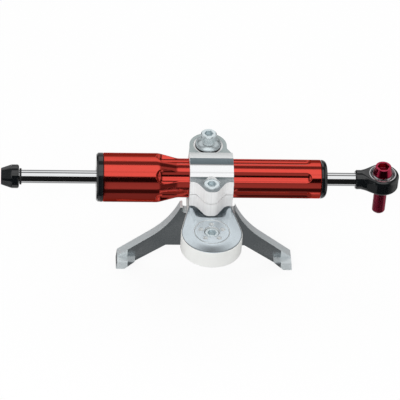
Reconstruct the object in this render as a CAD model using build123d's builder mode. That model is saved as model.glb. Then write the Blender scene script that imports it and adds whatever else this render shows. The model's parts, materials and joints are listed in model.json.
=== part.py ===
from build123d import *
import os
from math import cos, sin, radians, sqrt

os.makedirs("parts", exist_ok=True)

# Motorcycle steering damper, in millimetres, with +Z up and +X towards the rod end.
# The origin is midway between the two foot holes, on the plane that the feet stand on.

# Where the damper's axis runs above and behind that origin
axis_y = 11.0
axis_z = 76.0

# Fits shared by several pieces
running = 0.03  # radial clearance of a bush, seal or bearing that slides or turns
seated = 0.02  # radial clearance of pieces fixed together
swing_gap = 0.05  # axial clearance of faces that turn on each other

# Damper body
body_left = -80.2
body_right = 83.1
large_r = 18.4
small_r = 14.6
large_end = -39.0
small_start = -24.5
body_edge = 0.5
reservoir_wall = 2.9
reservoir_r = large_r - reservoir_wall
reservoir_end = -44.0
bulkhead_step = 0.5
bulkhead_seat_end = -30.0
cylinder_wall = 3.6
cylinder_r = small_r - cylinder_wall
bulkhead_seat_r = cylinder_r + bulkhead_step
cap_thread_start = 77.0
cap_thread_step = 1.0
cap_thread_r = cylinder_r + cap_thread_step
flute_count = 6
flute_cutter_r = 6.2
flute_circle_r = 19.15
flute_first = 43.0
flute_start = -35.0
flute_end = 70.9

# Shaft
shaft_r = 5.0
shaft_left = -152.0
shaft_neck_r = 3.5
needle_bore_r = 2.05
needle_seat_r = 1.2
needle_seat_x = -6.0
needle_seat_end = 15.2
bleed_hole_r = 1.0
bleed_left_x = -10.0
bleed_right_x = 14.0

# Piston
piston_x = 2.0
piston_half = 7.0
piston_gap = 0.1
piston_port_r = 1.1
piston_port_circle_r = 8.0
piston_port_count = 6
band_half = 3.0
band_depth = 1.5
shim_t = 0.3
shim_first_r = 9.6
shim_step = 1.0
shim_count = 3
circlip_t = 1.0
circlip_r = 6.5
circlip_depth = 0.5

# Adjuster
knob_left = -156.0
knob_right = -142.6
knob_nose_r = 6.3
knob_cone_end = -149.2
knob_cone_r = 8.5
knob_flange_start = -148.6
knob_flange_r = 8.9
knob_edge = 0.8
knob_side_count = 6
knob_turned = 40.0
knob_nose_flats = 5.75
knob_taper_angle = 17.0
knob_flats_length = 9.0
knob_floor = -152.6
knob_needle_hole_end = -155.2
knob_skirt_r = 7.0
knob_skirt_end = -147.9
hub_left = -147.6
hub_right = -143.0
detent_ball_r = 0.5
detent_circle_r = 5.95
detent_x = -147.75
detent_pocket_end = -144.6
detent_wire_r = 0.1
screw_tip_r = 0.75
screw_tip_x = -149.9
knob_screw_inner_r = 3.1
knob_screw_outer_r = 6.6
neck_groove_half = 0.85
neck_groove_r = 3.0
needle_r = 1.5
needle_left = -154.2
needle_land_r = 2.0
needle_land_left = -148.0
needle_land_right = -140.0
needle_taper_x = -8.0
needle_tip_x = -4.5
needle_tip_r = 0.4
needle_ring_x = -144.0
needle_ring_minor = 0.3
stop_ring_left = -142.3
stop_ring_right = -140.7
stop_ring_r = 6.1

# Left end of the body
end_cap_left = -85.1
end_cap_spigot = -70.0
end_cap_edge = 1.3
wiper_r = 8.0
wiper_pocket_end = -80.0
shaft_hole_r = 5.4
seal_r = 7.6
seal_start = -78.5
seal_end = -74.0
o_ring_section = 1.9
o_ring_groove_w = 2.2
end_cap_ring_x = -75.0
gas_hole_r = 2.1
gas_vent_r = 0.8
gas_hole_wall = 3.7
gas_hole_circle_r = reservoir_r - gas_hole_wall
gas_hole_angle = -35.0
gas_hole_end = -77.0
gas_screw_socket_r = 1.25
gas_screw_socket_depth = 2.0
spanner_hole_r = 1.25
spanner_circle_r = 13.0
spanner_depth = 1.6

# Sleeve, bulkhead and floating piston
tube_bore_r = 5.6
tube_flange_left = -43.0
tube_flange_right = -40.0
bush_r = 6.5
bush_left = -74.0
bush_right = -64.0
bulkhead_left = -40.0
bulkhead_right = -30.0
bulkhead_seal_end = -36.0
bulkhead_ring_x = -33.0
port_r = 0.8
port_circle_r = 9.3
separator_left = -60.0
separator_right = -51.0

# Right end of the body
guide_left = 68.0
guide_right = 77.0
guide_lip = 69.0
guide_ring_x = 73.0
front_cap_right = 87.6
front_cap_round = 4.0
front_seal_end = 81.5
front_wiper_start = 84.4

# Rod end
rod_end_x = 129.8
shank_reach = 20.5
shank_left = rod_end_x - shank_reach
shank_r = 7.3
shank_edge = 0.9
shank_thread_r = 4.0
shank_thread = 9.2
shank_hole_gap = 0.5
shaft_right = shank_left + shank_thread
shank_hole_end = shaft_right + shank_hole_gap
shank_straight = 5.0
shank_straight_end = shank_left + shank_straight
neck_flat = 0.5
neck_waist_step = 2.6
neck_waist_half_w = 7.6
neck_waist_half_h = 6.95
neck_waist_round = 5.2
neck_mid_step = 5.6
neck_mid_half_w = 8.7
neck_mid_half_h = 6.4
neck_mid_round = 3.2
neck_root_back = 6.6
neck_root_half_w = 10.4
head_r = 12.5
head_half = 6.3
head_round = 2.6
race_r = 10.2
race_mouth_r = 9.3
race_land_half = 3.6
ball_r = 9.0
ball_half = 6.5
rod_bolt_r = 5.2
rod_bolt_base_r = 7.4
rod_bolt_top_r = 5.85
rod_bolt_head_h = 6.6
rod_bolt_tip = -30.8
rod_bolt_tip_edge = 2.0
rod_bolt_thread_r = 4.8
rod_bolt_thread_top = -8.0
rod_bolt_edge = 1.6
rod_bolt_socket_flats = 8.0
rod_bolt_socket_depth = 4.6

# Clamp
clamp_half = 16.2
clamp_x = 0.4
clamp_r = 19.2
clamp_split = 0.8
lug_half = 11.6
lug_front_y = -18.2
nose_y = -20.2
nose_root_x = 11.4
nose_tip_x = 3.7
nose_tip_y = -30.0
nose_fillet = 6.0
nose_tip_fillet = 5.0
rear_x = -0.7
rear_y = 25.1
rear_r = 14.1
rear_flare_y = 15.6
rear_flare_end_y = 21.0
clamp_bolt_r = 4.0
clamp_bolt_clearance = 0.3
front_head_r = 6.2
front_head_h = 6.0
front_head_gap = 0.25
rear_seat_r = 11.2
rear_seat_depth = 0.5
rear_washer_r = 9.8
rear_washer_t = 1.2
flange_r = 9.5
flange_t = 1.2
rear_neck_r = 6.0
rear_head_h = 9.4
rear_head_edge = 0.8
socket_flats = 6.0
socket_depth = 4.0
block_half = 13.2
block_y = 15.3
block_bottom = -20.0

# Pivot arm
pivot_y = -47.5
arm_top = -11.6
arm_bottom = -26.8
arm_r = 22.8
arm_half = 16.6
arm_taper_y = -16.0
arm_rear_y = 17.2
arm_bevel = 2.0
arm_step_y = -14.5
arm_step_z = -23.2
pocket_half = 13.6
pocket_y = -32.0
pocket_round = 5.0
body_relief = 1.0
saddle_x = 8.5
saddle_y = 12.0
saddle_r = 2.5
saddle_head_r = 4.6
saddle_head_h = 2.1
saddle_thread_top = -12.5
saddle_socket_r = 1.7
saddle_socket_depth = 1.6

# Pivot
bearing_bottom = -24.1
bearing_top = -17.1
bearing_outer_r = 11.0
bearing_bore_r = 4.0
bearing_inner_wall_r = 6.3
bearing_outer_wall_r = 8.7
bearing_ball_r = 1.985
bearing_ball_circle_r = 7.5
bearing_ball_count = 7
arm_pivot_hole_r = 7.2
cap_disc_r = 13.0
cap_disc_hole_r = 5.6
cap_disc_edge = 0.35
cap_pin_r = 1.8
cap_pin_circle_r = 8.5
cap_pin_depth = 2.0
cap_pin_count = 5
cap_pin_first = 18.0
pivot_head_r = 5.2
pivot_head_h = 4.6
spacer_r = 5.5
thrust_r = 11.0
thrust_inner_r = 5.8
tongue_top = -27.6
tongue_bottom = -35.1
tongue_r = 11.5

# Frame bracket
plate_front_y = -12.0
plate_back_y = -4.0
pad_front_y = -18.0
pad_h = 7.6
pad_edge = 0.8
pad_inner_x = 52.8
pad_foot_x = 60.8
web_bottom_z = 19.6
web_bottom_half = 30.0
foot_inner_x = 57.0
foot_outer_x = 67.2
foot_top_x = 66.4
foot_top_z = 8.2
leg_bend_x = 42.0
leg_bend_z = 27.5
horn_x = 20.4
horn_z = 57.0
notch_half = 19.9
notch_z = 52.0
notch_round = 1.6
foot_hole_x = 64.0
bracket_x = -1.3
foot_hole_r = 2.1
foot_hole_depth = 6.0

# Working planes and axes
damper_plane = Plane(origin=(0, axis_y, axis_z), x_dir=(1, 0, 0), z_dir=(0, -1, 0))
damper_axis = Axis((0, axis_y, axis_z), (1, 0, 0))
pivot_plane = Plane(origin=(0, axis_y + pivot_y, axis_z), x_dir=(1, 0, 0), z_dir=(0, -1, 0))
pivot_axis = Axis((0, axis_y + pivot_y, axis_z), (0, 0, 1))
rod_plane = Plane(origin=(rod_end_x, axis_y, axis_z), x_dir=(1, 0, 0), z_dir=(0, -1, 0))
rod_axis = Axis((rod_end_x, axis_y, axis_z), (0, 0, 1))
front_screw_plane = Plane(origin=(0, axis_y + nose_y, axis_z), x_dir=(1, 0, 0), z_dir=(0, -1, 0))
front_screw_axis = Axis((0, axis_y + nose_y, axis_z), (0, 0, 1))
rear_screw_plane = Plane(origin=(rear_x, axis_y + rear_y, axis_z), x_dir=(1, 0, 0), z_dir=(0, -1, 0))
rear_screw_axis = Axis((rear_x, axis_y + rear_y, axis_z), (0, 0, 1))
axis_level = Plane.XY.offset(axis_z)


# Points round the damper's axis, counted from the front towards the top
def around(x, radius, angle):
    return (x, axis_y - radius * cos(radians(angle)), axis_z + radius * sin(radians(angle)))


# Radius and centre circle of an O-ring between a groove's floor and the wall it seals on
def ring_minor(floor_r, wall_r):
    return (wall_r - floor_r) / 2 - seated / 2


def ring_major(floor_r, wall_r):
    return (wall_r + floor_r) / 2


# Frame bracket: a plate with two legs, thickened feet and a tongue under the arm
with BuildPart() as frame_bracket:
    with BuildSketch(Plane(origin=(bracket_x, axis_y + plate_back_y, 0), x_dir=(1, 0, 0), z_dir=(0, -1, 0))):
        with BuildLine():
            Line((0, web_bottom_z), (web_bottom_half, web_bottom_z))
            Line((web_bottom_half, web_bottom_z), (foot_inner_x, 0))
            Line((foot_inner_x, 0), (foot_outer_x, 0))
            Line((foot_outer_x, 0), (foot_top_x, foot_top_z))
            leg_line = Line((foot_top_x, foot_top_z), (leg_bend_x, leg_bend_z))
            TangentArc((leg_bend_x, leg_bend_z), (horn_x, horn_z), tangent=leg_line % 1)
            Line((horn_x, horn_z), (0, horn_z))
            mirror(about=Plane.YZ)
        make_face()
    extrude(amount=plate_back_y - plate_front_y)
    web_corners = frame_bracket.edges().filter_by(Axis.Y).filter_by_position(
        Axis.Z, web_bottom_z - running, web_bottom_z + running)
    fillet(web_corners, notch_round)
    outer_corners = frame_bracket.edges().filter_by(Axis.Y).filter_by_position(
        Axis.Z, foot_top_z - running, foot_top_z + running)
    fillet(outer_corners, notch_round)
    # Notch for the arm, wide enough for its swing
    notch_middle = (0, axis_y + plate_back_y, notch_z + axis_z / 2)
    with BuildSketch(Plane(origin=notch_middle, x_dir=(1, 0, 0), z_dir=(0, -1, 0))):
        RectangleRounded(2 * notch_half, axis_z, notch_round)
    extrude(amount=plate_back_y - plate_front_y, mode=Mode.SUBTRACT)
    # Pads that stand out in front of the plate
    pad_outer_x = foot_outer_x - (foot_outer_x - foot_top_x) * pad_h / foot_top_z
    with BuildSketch(Plane(origin=(bracket_x, axis_y + plate_front_y, 0), x_dir=(1, 0, 0), z_dir=(0, -1, 0))):
        with BuildLine():
            Polyline((pad_inner_x, pad_h), (pad_foot_x, 0), (foot_outer_x, 0), (pad_outer_x, pad_h),
                     close=True)
        make_face()
        mirror(about=Plane.YZ)
    extrude(amount=plate_front_y - pad_front_y)
    pad_top_edges = frame_bracket.edges().filter_by(Axis.X).filter_by_position(
        Axis.Y, axis_y + pad_front_y - running, axis_y + pad_front_y + running).group_by(Axis.Z)[-1]
    chamfer(pad_top_edges, pad_edge)
    # Tongue that carries the pivot
    with BuildSketch(Plane.XY.offset(axis_z + tongue_bottom)):
        with Locations((0, axis_y + (pivot_y + plate_front_y) / 2)):
            Rectangle(2 * tongue_r, plate_front_y - pivot_y)
        with Locations((0, axis_y + pivot_y)):
            Circle(tongue_r)
    extrude(amount=tongue_top - tongue_bottom)
    with Locations((0, axis_y + pivot_y, axis_z + tongue_top)):
        Hole(bearing_bore_r, tongue_top - tongue_bottom)
    with Locations(Plane(origin=(0, 0, 0), x_dir=(1, 0, 0), z_dir=(0, 0, -1))):
        with Locations((bracket_x - foot_hole_x, 0), (bracket_x + foot_hole_x, 0)):
            Hole(foot_hole_r, foot_hole_depth)
frame_bracket.part.label = "frame_bracket"
export_step(frame_bracket.part, "parts/frame_bracket.step")

# Pivot screw, with its low head inside the disc
pivot_head_top = bearing_top + pivot_head_h
with BuildPart() as pivot_bolt:
    with BuildSketch(pivot_plane):
        with BuildLine():
            Polyline(
                (0, tongue_bottom),
                (bearing_bore_r - seated, tongue_bottom),
                (bearing_bore_r - seated, bearing_top),
                (pivot_head_r, bearing_top),
                (pivot_head_r, pivot_head_top - cap_disc_edge),
                (pivot_head_r - cap_disc_edge, pivot_head_top),
                (0, pivot_head_top),
                close=True,
            )
        make_face()
    revolve(axis=pivot_axis)
    with BuildSketch(Plane.XY.offset(axis_z + pivot_head_top)):
        with Locations((0, axis_y + pivot_y)):
            RegularPolygon(socket_flats / 2, 6, major_radius=False)
    extrude(amount=-(pivot_head_h - bearing_ball_r / 2), mode=Mode.SUBTRACT)
pivot_bolt.part.label = "pivot_bolt"
export_step(pivot_bolt.part, "parts/pivot_bolt.step")

with BuildPart() as pivot_spacer:
    with BuildSketch(Plane.XY.offset(axis_z + tongue_top)):
        with Locations((0, axis_y + pivot_y)):
            Circle(spacer_r)
            Circle(bearing_bore_r, mode=Mode.SUBTRACT)
    extrude(amount=bearing_bottom - tongue_top)
pivot_spacer.part.label = "pivot_spacer"
export_step(pivot_spacer.part, "parts/pivot_spacer.step")

with BuildPart() as pivot_thrust_washer:
    with BuildSketch(Plane.XY.offset(axis_z + tongue_top)):
        with Locations((0, axis_y + pivot_y)):
            Circle(thrust_r)
            Circle(thrust_inner_r, mode=Mode.SUBTRACT)
    extrude(amount=arm_bottom - tongue_top - swing_gap)
pivot_thrust_washer.part.label = "pivot_thrust_washer"
export_step(pivot_thrust_washer.part, "parts/pivot_thrust_washer.step")

# Deep-groove ball bearing of the pivot: two races with a groove each, and the balls
bearing_mid = (bearing_top + bearing_bottom) / 2
with BuildPart() as pivot_bearing_inner_race:
    with BuildSketch(Plane.XY.offset(axis_z + bearing_bottom)):
        with Locations((0, axis_y + pivot_y)):
            Circle(bearing_inner_wall_r)
            Circle(bearing_bore_r, mode=Mode.SUBTRACT)
    extrude(amount=bearing_top - bearing_bottom)
    with Locations((0, axis_y + pivot_y, axis_z + bearing_mid)):
        Torus(bearing_ball_circle_r, bearing_ball_r + running, mode=Mode.SUBTRACT)
pivot_bearing_inner_race.part.label = "pivot_bearing_inner_race"
export_step(pivot_bearing_inner_race.part, "parts/pivot_bearing_inner_race.step")

with BuildPart() as pivot_bearing_outer_race:
    with BuildSketch(Plane.XY.offset(axis_z + bearing_bottom)):
        with Locations((0, axis_y + pivot_y)):
            Circle(bearing_outer_r - seated)
            Circle(bearing_outer_wall_r, mode=Mode.SUBTRACT)
    extrude(amount=bearing_top - bearing_bottom)
    with Locations((0, axis_y + pivot_y, axis_z + bearing_mid)):
        Torus(bearing_ball_circle_r, bearing_ball_r + running, mode=Mode.SUBTRACT)
pivot_bearing_outer_race.part.label = "pivot_bearing_outer_race"
export_step(pivot_bearing_outer_race.part, "parts/pivot_bearing_outer_race.step")

with BuildPart() as pivot_bearing_balls:
    with Locations((0, axis_y + pivot_y, axis_z + bearing_mid)):
        with PolarLocations(bearing_ball_circle_r, bearing_ball_count):
            Sphere(bearing_ball_r)
pivot_bearing_balls.part.label = "pivot_bearing_balls"
export_step(pivot_bearing_balls.part, "parts/pivot_bearing_balls.step")

# Pear-shaped arm: wide round the pivot, narrower where the clamp sits in its pocket
with BuildPart() as pivot_arm:
    with BuildSketch(Plane.XY.offset(axis_z + arm_bottom)):
        with Locations((0, axis_y + pivot_y)):
            Circle(arm_r)
        with Locations((0, axis_y + arm_taper_y - arm_bevel / 2)):
            Rectangle(2 * arm_half, arm_bevel)
        make_hull()
        with Locations((0, axis_y + (arm_taper_y + arm_rear_y) / 2)):
            Rectangle(2 * arm_half, arm_rear_y - arm_taper_y)
    extrude(amount=arm_top - arm_bottom)
    rim = pivot_arm.faces().sort_by(Axis.Z)[-1].edges().sort_by(Axis.Y)[:-1]
    chamfer(rim, arm_bevel)
    # Pocket for the block of the lower clamp half, open at the rear
    with BuildSketch(Plane.XY.offset(axis_z + arm_top)):
        with Locations((0, axis_y + (pocket_y + arm_rear_y) / 2 + pocket_round)):
            RectangleRounded(2 * pocket_half, arm_rear_y - pocket_y + 2 * pocket_round, pocket_round)
    extrude(amount=block_bottom - arm_top, mode=Mode.SUBTRACT)
    # The underside steps up where the arm passes over the bracket's web
    with Locations((0, axis_y + arm_step_y, axis_z + arm_bottom)):
        Box(4 * arm_half, arm_rear_y - 2 * arm_step_y, arm_step_z - arm_bottom,
            align=(Align.CENTER, Align.MIN, Align.MIN), mode=Mode.SUBTRACT)
    # Clearance for the damper body between the cheeks
    with Locations((0, axis_y, axis_z)):
        Cylinder(small_r + body_relief, 4 * arm_half, rotation=(0, 90, 0), mode=Mode.SUBTRACT)
    # Bearing seat, disc thread and the hole below
    with Locations((0, axis_y + pivot_y, axis_z + arm_bottom)):
        Cylinder(arm_pivot_hole_r, arm_top - arm_bottom,
                 align=(Align.CENTER, Align.CENTER, Align.MIN), mode=Mode.SUBTRACT)
    with Locations((0, axis_y + pivot_y, axis_z + bearing_bottom)):
        Cylinder(bearing_outer_r, arm_top - bearing_bottom,
                 align=(Align.CENTER, Align.CENTER, Align.MIN), mode=Mode.SUBTRACT)
    with Locations((0, axis_y + pivot_y, axis_z + bearing_top)):
        Cylinder(cap_disc_r, arm_top - bearing_top,
                 align=(Align.CENTER, Align.CENTER, Align.MIN), mode=Mode.SUBTRACT)
    # Countersunk holes of the saddle screws
    with Locations(Plane(origin=(0, axis_y, axis_z + arm_step_z), z_dir=(0, 0, -1))):
        with GridLocations(2 * saddle_x, 2 * saddle_y, 2, 2):
            CounterSinkHole(saddle_r + seated, saddle_head_r + seated, block_bottom - arm_step_z)
pivot_arm.part.label = "pivot_arm"
export_step(pivot_arm.part, "parts/pivot_arm.step")

# Flush disc that holds the bearing, with holes for a pin spanner
with BuildPart() as pivot_cap:
    with BuildSketch(Plane.XY.offset(axis_z + bearing_top)):
        with Locations((0, axis_y + pivot_y)):
            Circle(cap_disc_r - seated)
            Circle(cap_disc_hole_r, mode=Mode.SUBTRACT)
    extrude(amount=arm_top - bearing_top)
    chamfer(pivot_cap.faces().sort_by(Axis.Z)[-1].edges(), cap_disc_edge)
    with Locations((0, axis_y + pivot_y, axis_z + arm_top)):
        with PolarLocations(cap_pin_circle_r, cap_pin_count, start_angle=cap_pin_first):
            Cylinder(cap_pin_r, 2 * cap_pin_depth, mode=Mode.SUBTRACT)
pivot_cap.part.label = "pivot_cap"
export_step(pivot_cap.part, "parts/pivot_cap.step")

# Four countersunk screws that pull the lower clamp half into the arm
with BuildPart() as saddle_screws:
    with Locations((0, axis_y, 0)):
        with GridLocations(2 * saddle_x, 2 * saddle_y, 2, 2):
            with Locations((0, 0, axis_z + arm_step_z)):
                Cone(saddle_head_r, saddle_r, saddle_head_h, align=(Align.CENTER, Align.CENTER, Align.MIN))
                Cylinder(saddle_r, saddle_thread_top - arm_step_z,
                         align=(Align.CENTER, Align.CENTER, Align.MIN))
                Cylinder(saddle_socket_r, saddle_socket_depth,
                         align=(Align.CENTER, Align.CENTER, Align.MIN), mode=Mode.SUBTRACT)
saddle_screws.part.label = "saddle_screws"
export_step(saddle_screws.part, "parts/saddle_screws.step")

# Plan of the clamp's lugs: wavy nose in front, round tab behind
with BuildSketch(axis_level) as lug_plan:
    with BuildLine():
        Polyline(
            (clamp_x - clamp_half, axis_y), (clamp_x - clamp_half, axis_y + lug_front_y),
            (-nose_root_x, axis_y + lug_front_y), (-nose_tip_x, axis_y + nose_tip_y),
            (nose_tip_x, axis_y + nose_tip_y), (nose_root_x, axis_y + lug_front_y),
            (clamp_x + clamp_half, axis_y + lug_front_y), (clamp_x + clamp_half, axis_y), close=True,
        )
    make_face()
    fillet(vertices().filter_by_position(Axis.Y, axis_y + lug_front_y - running,
                                         axis_y + lug_front_y + running).sort_by(Axis.X)[1:-1], nose_fillet)
    fillet(vertices().filter_by_position(Axis.Y, axis_y + nose_tip_y - running,
                                         axis_y + nose_tip_y + running), nose_tip_fillet)
    with BuildLine():
        Polyline(
            (clamp_x - clamp_half, axis_y), (clamp_x + clamp_half, axis_y),
            (clamp_x + clamp_half, axis_y + rear_flare_y), (rear_x + rear_r, axis_y + rear_flare_end_y),
            (rear_x + rear_r, axis_y + rear_y), (rear_x - rear_r, axis_y + rear_y),
            (rear_x - rear_r, axis_y + rear_flare_end_y), (clamp_x - clamp_half, axis_y + rear_flare_y),
            close=True,
        )
    make_face()
    with Locations((rear_x, axis_y + rear_y)):
        Circle(rear_r)

# Upper clamp half: half of the band and of both lugs
with BuildPart() as clamp_upper:
    with Locations((clamp_x, axis_y, axis_z)):
        Cylinder(clamp_r, 2 * clamp_half, rotation=(0, 90, 0))
    extrude(lug_plan.sketch, amount=lug_half)
    with Locations((0, axis_y, axis_z + clamp_split / 2)):
        Box(4 * clamp_r, 6 * clamp_r, 2 * clamp_r, align=(Align.CENTER, Align.CENTER, Align.MAX),
            mode=Mode.SUBTRACT)
    with Locations((0, axis_y, axis_z)):
        Cylinder(small_r + seated, 4 * clamp_half, rotation=(0, 90, 0), mode=Mode.SUBTRACT)
    with Locations((0, axis_y + nose_y, axis_z + lug_half)):
        CounterBoreHole(clamp_bolt_r + clamp_bolt_clearance, front_head_r + front_head_gap, front_head_h)
    with Locations((rear_x, axis_y + rear_y, axis_z + lug_half)):
        CounterBoreHole(clamp_bolt_r + clamp_bolt_clearance, rear_seat_r, rear_seat_depth)
clamp_upper.part.label = "clamp_upper"
export_step(clamp_upper.part, "parts/clamp_upper.step")

# Lower clamp half: the same lugs below the split, and a block that drops into the arm's pocket
with BuildPart() as clamp_lower:
    with Locations((clamp_x, axis_y, axis_z)):
        Cylinder(clamp_r, 2 * clamp_half, rotation=(0, 90, 0))
    with Locations((0, axis_y, axis_z - lug_half)):
        Box(4 * clamp_r, 6 * clamp_r, 2 * clamp_r, align=(Align.CENTER, Align.CENTER, Align.MAX),
            mode=Mode.SUBTRACT)
    extrude(lug_plan.sketch, amount=-lug_half)
    with Locations((0, axis_y, axis_z + block_bottom)):
        Box(2 * block_half, 2 * block_y, -block_bottom, align=(Align.CENTER, Align.CENTER, Align.MIN))
    with Locations((0, axis_y, axis_z - clamp_split / 2)):
        Box(4 * clamp_r, 6 * clamp_r, 2 * clamp_r, align=(Align.CENTER, Align.CENTER, Align.MIN),
            mode=Mode.SUBTRACT)
    with Locations((0, axis_y, axis_z)):
        Cylinder(small_r + seated, 4 * clamp_half, rotation=(0, 90, 0), mode=Mode.SUBTRACT)
    with Locations((0, axis_y + nose_y, axis_z), (rear_x, axis_y + rear_y, axis_z)):
        Hole(clamp_bolt_r + seated)
    with Locations(Plane(origin=(0, axis_y, axis_z + block_bottom), z_dir=(0, 0, -1))):
        with GridLocations(2 * saddle_x, 2 * saddle_y, 2, 2):
            Hole(saddle_r + seated, saddle_thread_top - block_bottom + seated)
clamp_lower.part.label = "clamp_lower"
export_step(clamp_lower.part, "parts/clamp_lower.step")

# Sunk socket screw at the front
with BuildPart() as clamp_front_screw:
    with BuildSketch(front_screw_plane):
        with BuildLine():
            Polyline(
                (0, seated - lug_half), (clamp_bolt_r, seated - lug_half),
                (clamp_bolt_r, lug_half - front_head_h), (front_head_r, lug_half - front_head_h),
                (front_head_r, lug_half - rear_head_edge), (front_head_r - rear_head_edge, lug_half),
                (0, lug_half), close=True,
            )
        make_face()
    revolve(axis=front_screw_axis)
    with BuildSketch(Plane.XY.offset(axis_z + lug_half)):
        with Locations((0, axis_y + nose_y)):
            RegularPolygon(socket_flats / 2, 6, major_radius=False)
    extrude(amount=-socket_depth, mode=Mode.SUBTRACT)
clamp_front_screw.part.label = "clamp_front_screw"
export_step(clamp_front_screw.part, "parts/clamp_front_screw.step")

# Thin washer, then the flanged socket screw that stands proud at the rear
washer_floor = lug_half - rear_seat_depth
with BuildPart() as clamp_rear_washer:
    with BuildSketch(Plane.XY.offset(axis_z + washer_floor)):
        with Locations((rear_x, axis_y + rear_y)):
            Circle(rear_washer_r)
            Circle(clamp_bolt_r + seated, mode=Mode.SUBTRACT)
    extrude(amount=rear_washer_t)
clamp_rear_washer.part.label = "clamp_rear_washer"
export_step(clamp_rear_washer.part, "parts/clamp_rear_washer.step")

flange_floor = washer_floor + rear_washer_t
rear_head_top = flange_floor + flange_t + rear_head_h
with BuildPart() as clamp_rear_screw:
    with BuildSketch(rear_screw_plane):
        with BuildLine():
            Polyline(
                (0, seated - lug_half), (clamp_bolt_r, seated - lug_half),
                (clamp_bolt_r, flange_floor), (flange_r, flange_floor), (flange_r, flange_floor + flange_t),
            )
            flare = ThreePointArc(
                (flange_r, flange_floor + flange_t),
                (rear_neck_r + (flange_r - rear_neck_r) / 4, flange_floor + flange_t + rear_head_h / 5),
                (rear_neck_r, flange_floor + flange_t + rear_head_h / 2),
            )
            Polyline(
                (rear_neck_r, flange_floor + flange_t + rear_head_h / 2),
                (rear_neck_r, rear_head_top - rear_head_edge),
                (rear_neck_r - rear_head_edge, rear_head_top),
                (0, rear_head_top), (0, seated - lug_half),
            )
        make_face()
    revolve(axis=rear_screw_axis)
    with BuildSketch(Plane.XY.offset(axis_z + rear_head_top)):
        with Locations((rear_x, axis_y + rear_y)):
            RegularPolygon(socket_flats / 2, 6, major_radius=False)
    extrude(amount=-socket_depth, mode=Mode.SUBTRACT)
clamp_rear_screw.part.label = "clamp_rear_screw"
export_step(clamp_rear_screw.part, "parts/clamp_rear_screw.step")

# Damper body: large reservoir end, cone, slim cylinder, and six flutes with round ends
flute_angles = [flute_first + k * 360 / flute_count for k in range(flute_count)]
with BuildPart() as damper_body:
    with BuildSketch(damper_plane):
        with BuildLine():
            Polyline(
                (body_left, reservoir_r), (body_left, large_r - body_edge), (body_left + body_edge, large_r),
                (large_end, large_r), (small_start, small_r), (body_right - body_edge, small_r),
                (body_right, small_r - body_edge), (body_right, cap_thread_r),
                (cap_thread_start, cap_thread_r), (cap_thread_start, cylinder_r),
                (bulkhead_seat_end, cylinder_r), (bulkhead_seat_end, bulkhead_seat_r),
                (reservoir_end, bulkhead_seat_r), (reservoir_end, reservoir_r), close=True,
            )
        make_face()
    revolve(axis=damper_axis)
    with Locations(*[around((flute_start + flute_end) / 2, flute_circle_r, a) for a in flute_angles]):
        Cylinder(flute_cutter_r, flute_end - flute_start, rotation=(0, 90, 0), mode=Mode.SUBTRACT)
    with Locations(*[around(x, flute_circle_r, a) for a in flute_angles for x in (flute_start, flute_end)]):
        Sphere(flute_cutter_r, mode=Mode.SUBTRACT)
damper_body.part.label = "damper_body"
export_step(damper_body.part, "parts/damper_body.step")

# Left end cap, screwed into the reservoir end
end_cap_ring_floor = reservoir_r - seated - o_ring_section
with BuildPart() as reservoir_end_cap:
    with BuildSketch(damper_plane):
        with BuildLine():
            Polyline(
                (end_cap_left, wiper_r), (end_cap_left, large_r - end_cap_edge),
                (end_cap_left + end_cap_edge, large_r), (body_left, large_r),
                (body_left, reservoir_r - seated),
                (end_cap_ring_x - o_ring_groove_w / 2, reservoir_r - seated),
                (end_cap_ring_x - o_ring_groove_w / 2, end_cap_ring_floor),
                (end_cap_ring_x + o_ring_groove_w / 2, end_cap_ring_floor),
                (end_cap_ring_x + o_ring_groove_w / 2, reservoir_r - seated),
                (end_cap_spigot, reservoir_r - seated), (end_cap_spigot, seal_r), (seal_start, seal_r),
                (seal_start, shaft_hole_r), (wiper_pocket_end, shaft_hole_r), (wiper_pocket_end, wiper_r),
                close=True,
            )
        make_face()
    revolve(axis=damper_axis)
    with Locations(around((end_cap_left + gas_hole_end) / 2, gas_hole_circle_r, 180 - gas_hole_angle)):
        Cylinder(gas_hole_r, gas_hole_end - end_cap_left, rotation=(0, 90, 0), mode=Mode.SUBTRACT)
    with Locations(around((end_cap_left + end_cap_spigot) / 2, gas_hole_circle_r, 180 - gas_hole_angle)):
        Cylinder(gas_vent_r, end_cap_spigot - end_cap_left, rotation=(0, 90, 0), mode=Mode.SUBTRACT)
    with Locations(*[around(end_cap_left, spanner_circle_r, a) for a in (flute_first, flute_first + 180)]):
        Cylinder(spanner_hole_r, 2 * spanner_depth, rotation=(0, 90, 0), mode=Mode.SUBTRACT)
reservoir_end_cap.part.label = "reservoir_end_cap"
export_step(reservoir_end_cap.part, "parts/reservoir_end_cap.step")

with BuildPart() as end_cap_o_ring:
    with Locations((end_cap_ring_x, axis_y, axis_z)):
        Torus(ring_major(end_cap_ring_floor, reservoir_r), ring_minor(end_cap_ring_floor, reservoir_r),
              rotation=(0, 90, 0))
end_cap_o_ring.part.label = "end_cap_o_ring"
export_step(end_cap_o_ring.part, "parts/end_cap_o_ring.step")

with BuildPart() as gas_fill_screw:
    with Locations(around((end_cap_left + gas_hole_end) / 2, gas_hole_circle_r, 180 - gas_hole_angle)):
        Cylinder(gas_hole_r - seated, gas_hole_end - end_cap_left - 2 * seated, rotation=(0, 90, 0))
    with Locations(around(end_cap_left, gas_hole_circle_r, 180 - gas_hole_angle)):
        Cylinder(gas_screw_socket_r, 2 * gas_screw_socket_depth, rotation=(0, 90, 0), mode=Mode.SUBTRACT)
gas_fill_screw.part.label = "gas_fill_screw"
export_step(gas_fill_screw.part, "parts/gas_fill_screw.step")

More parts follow.
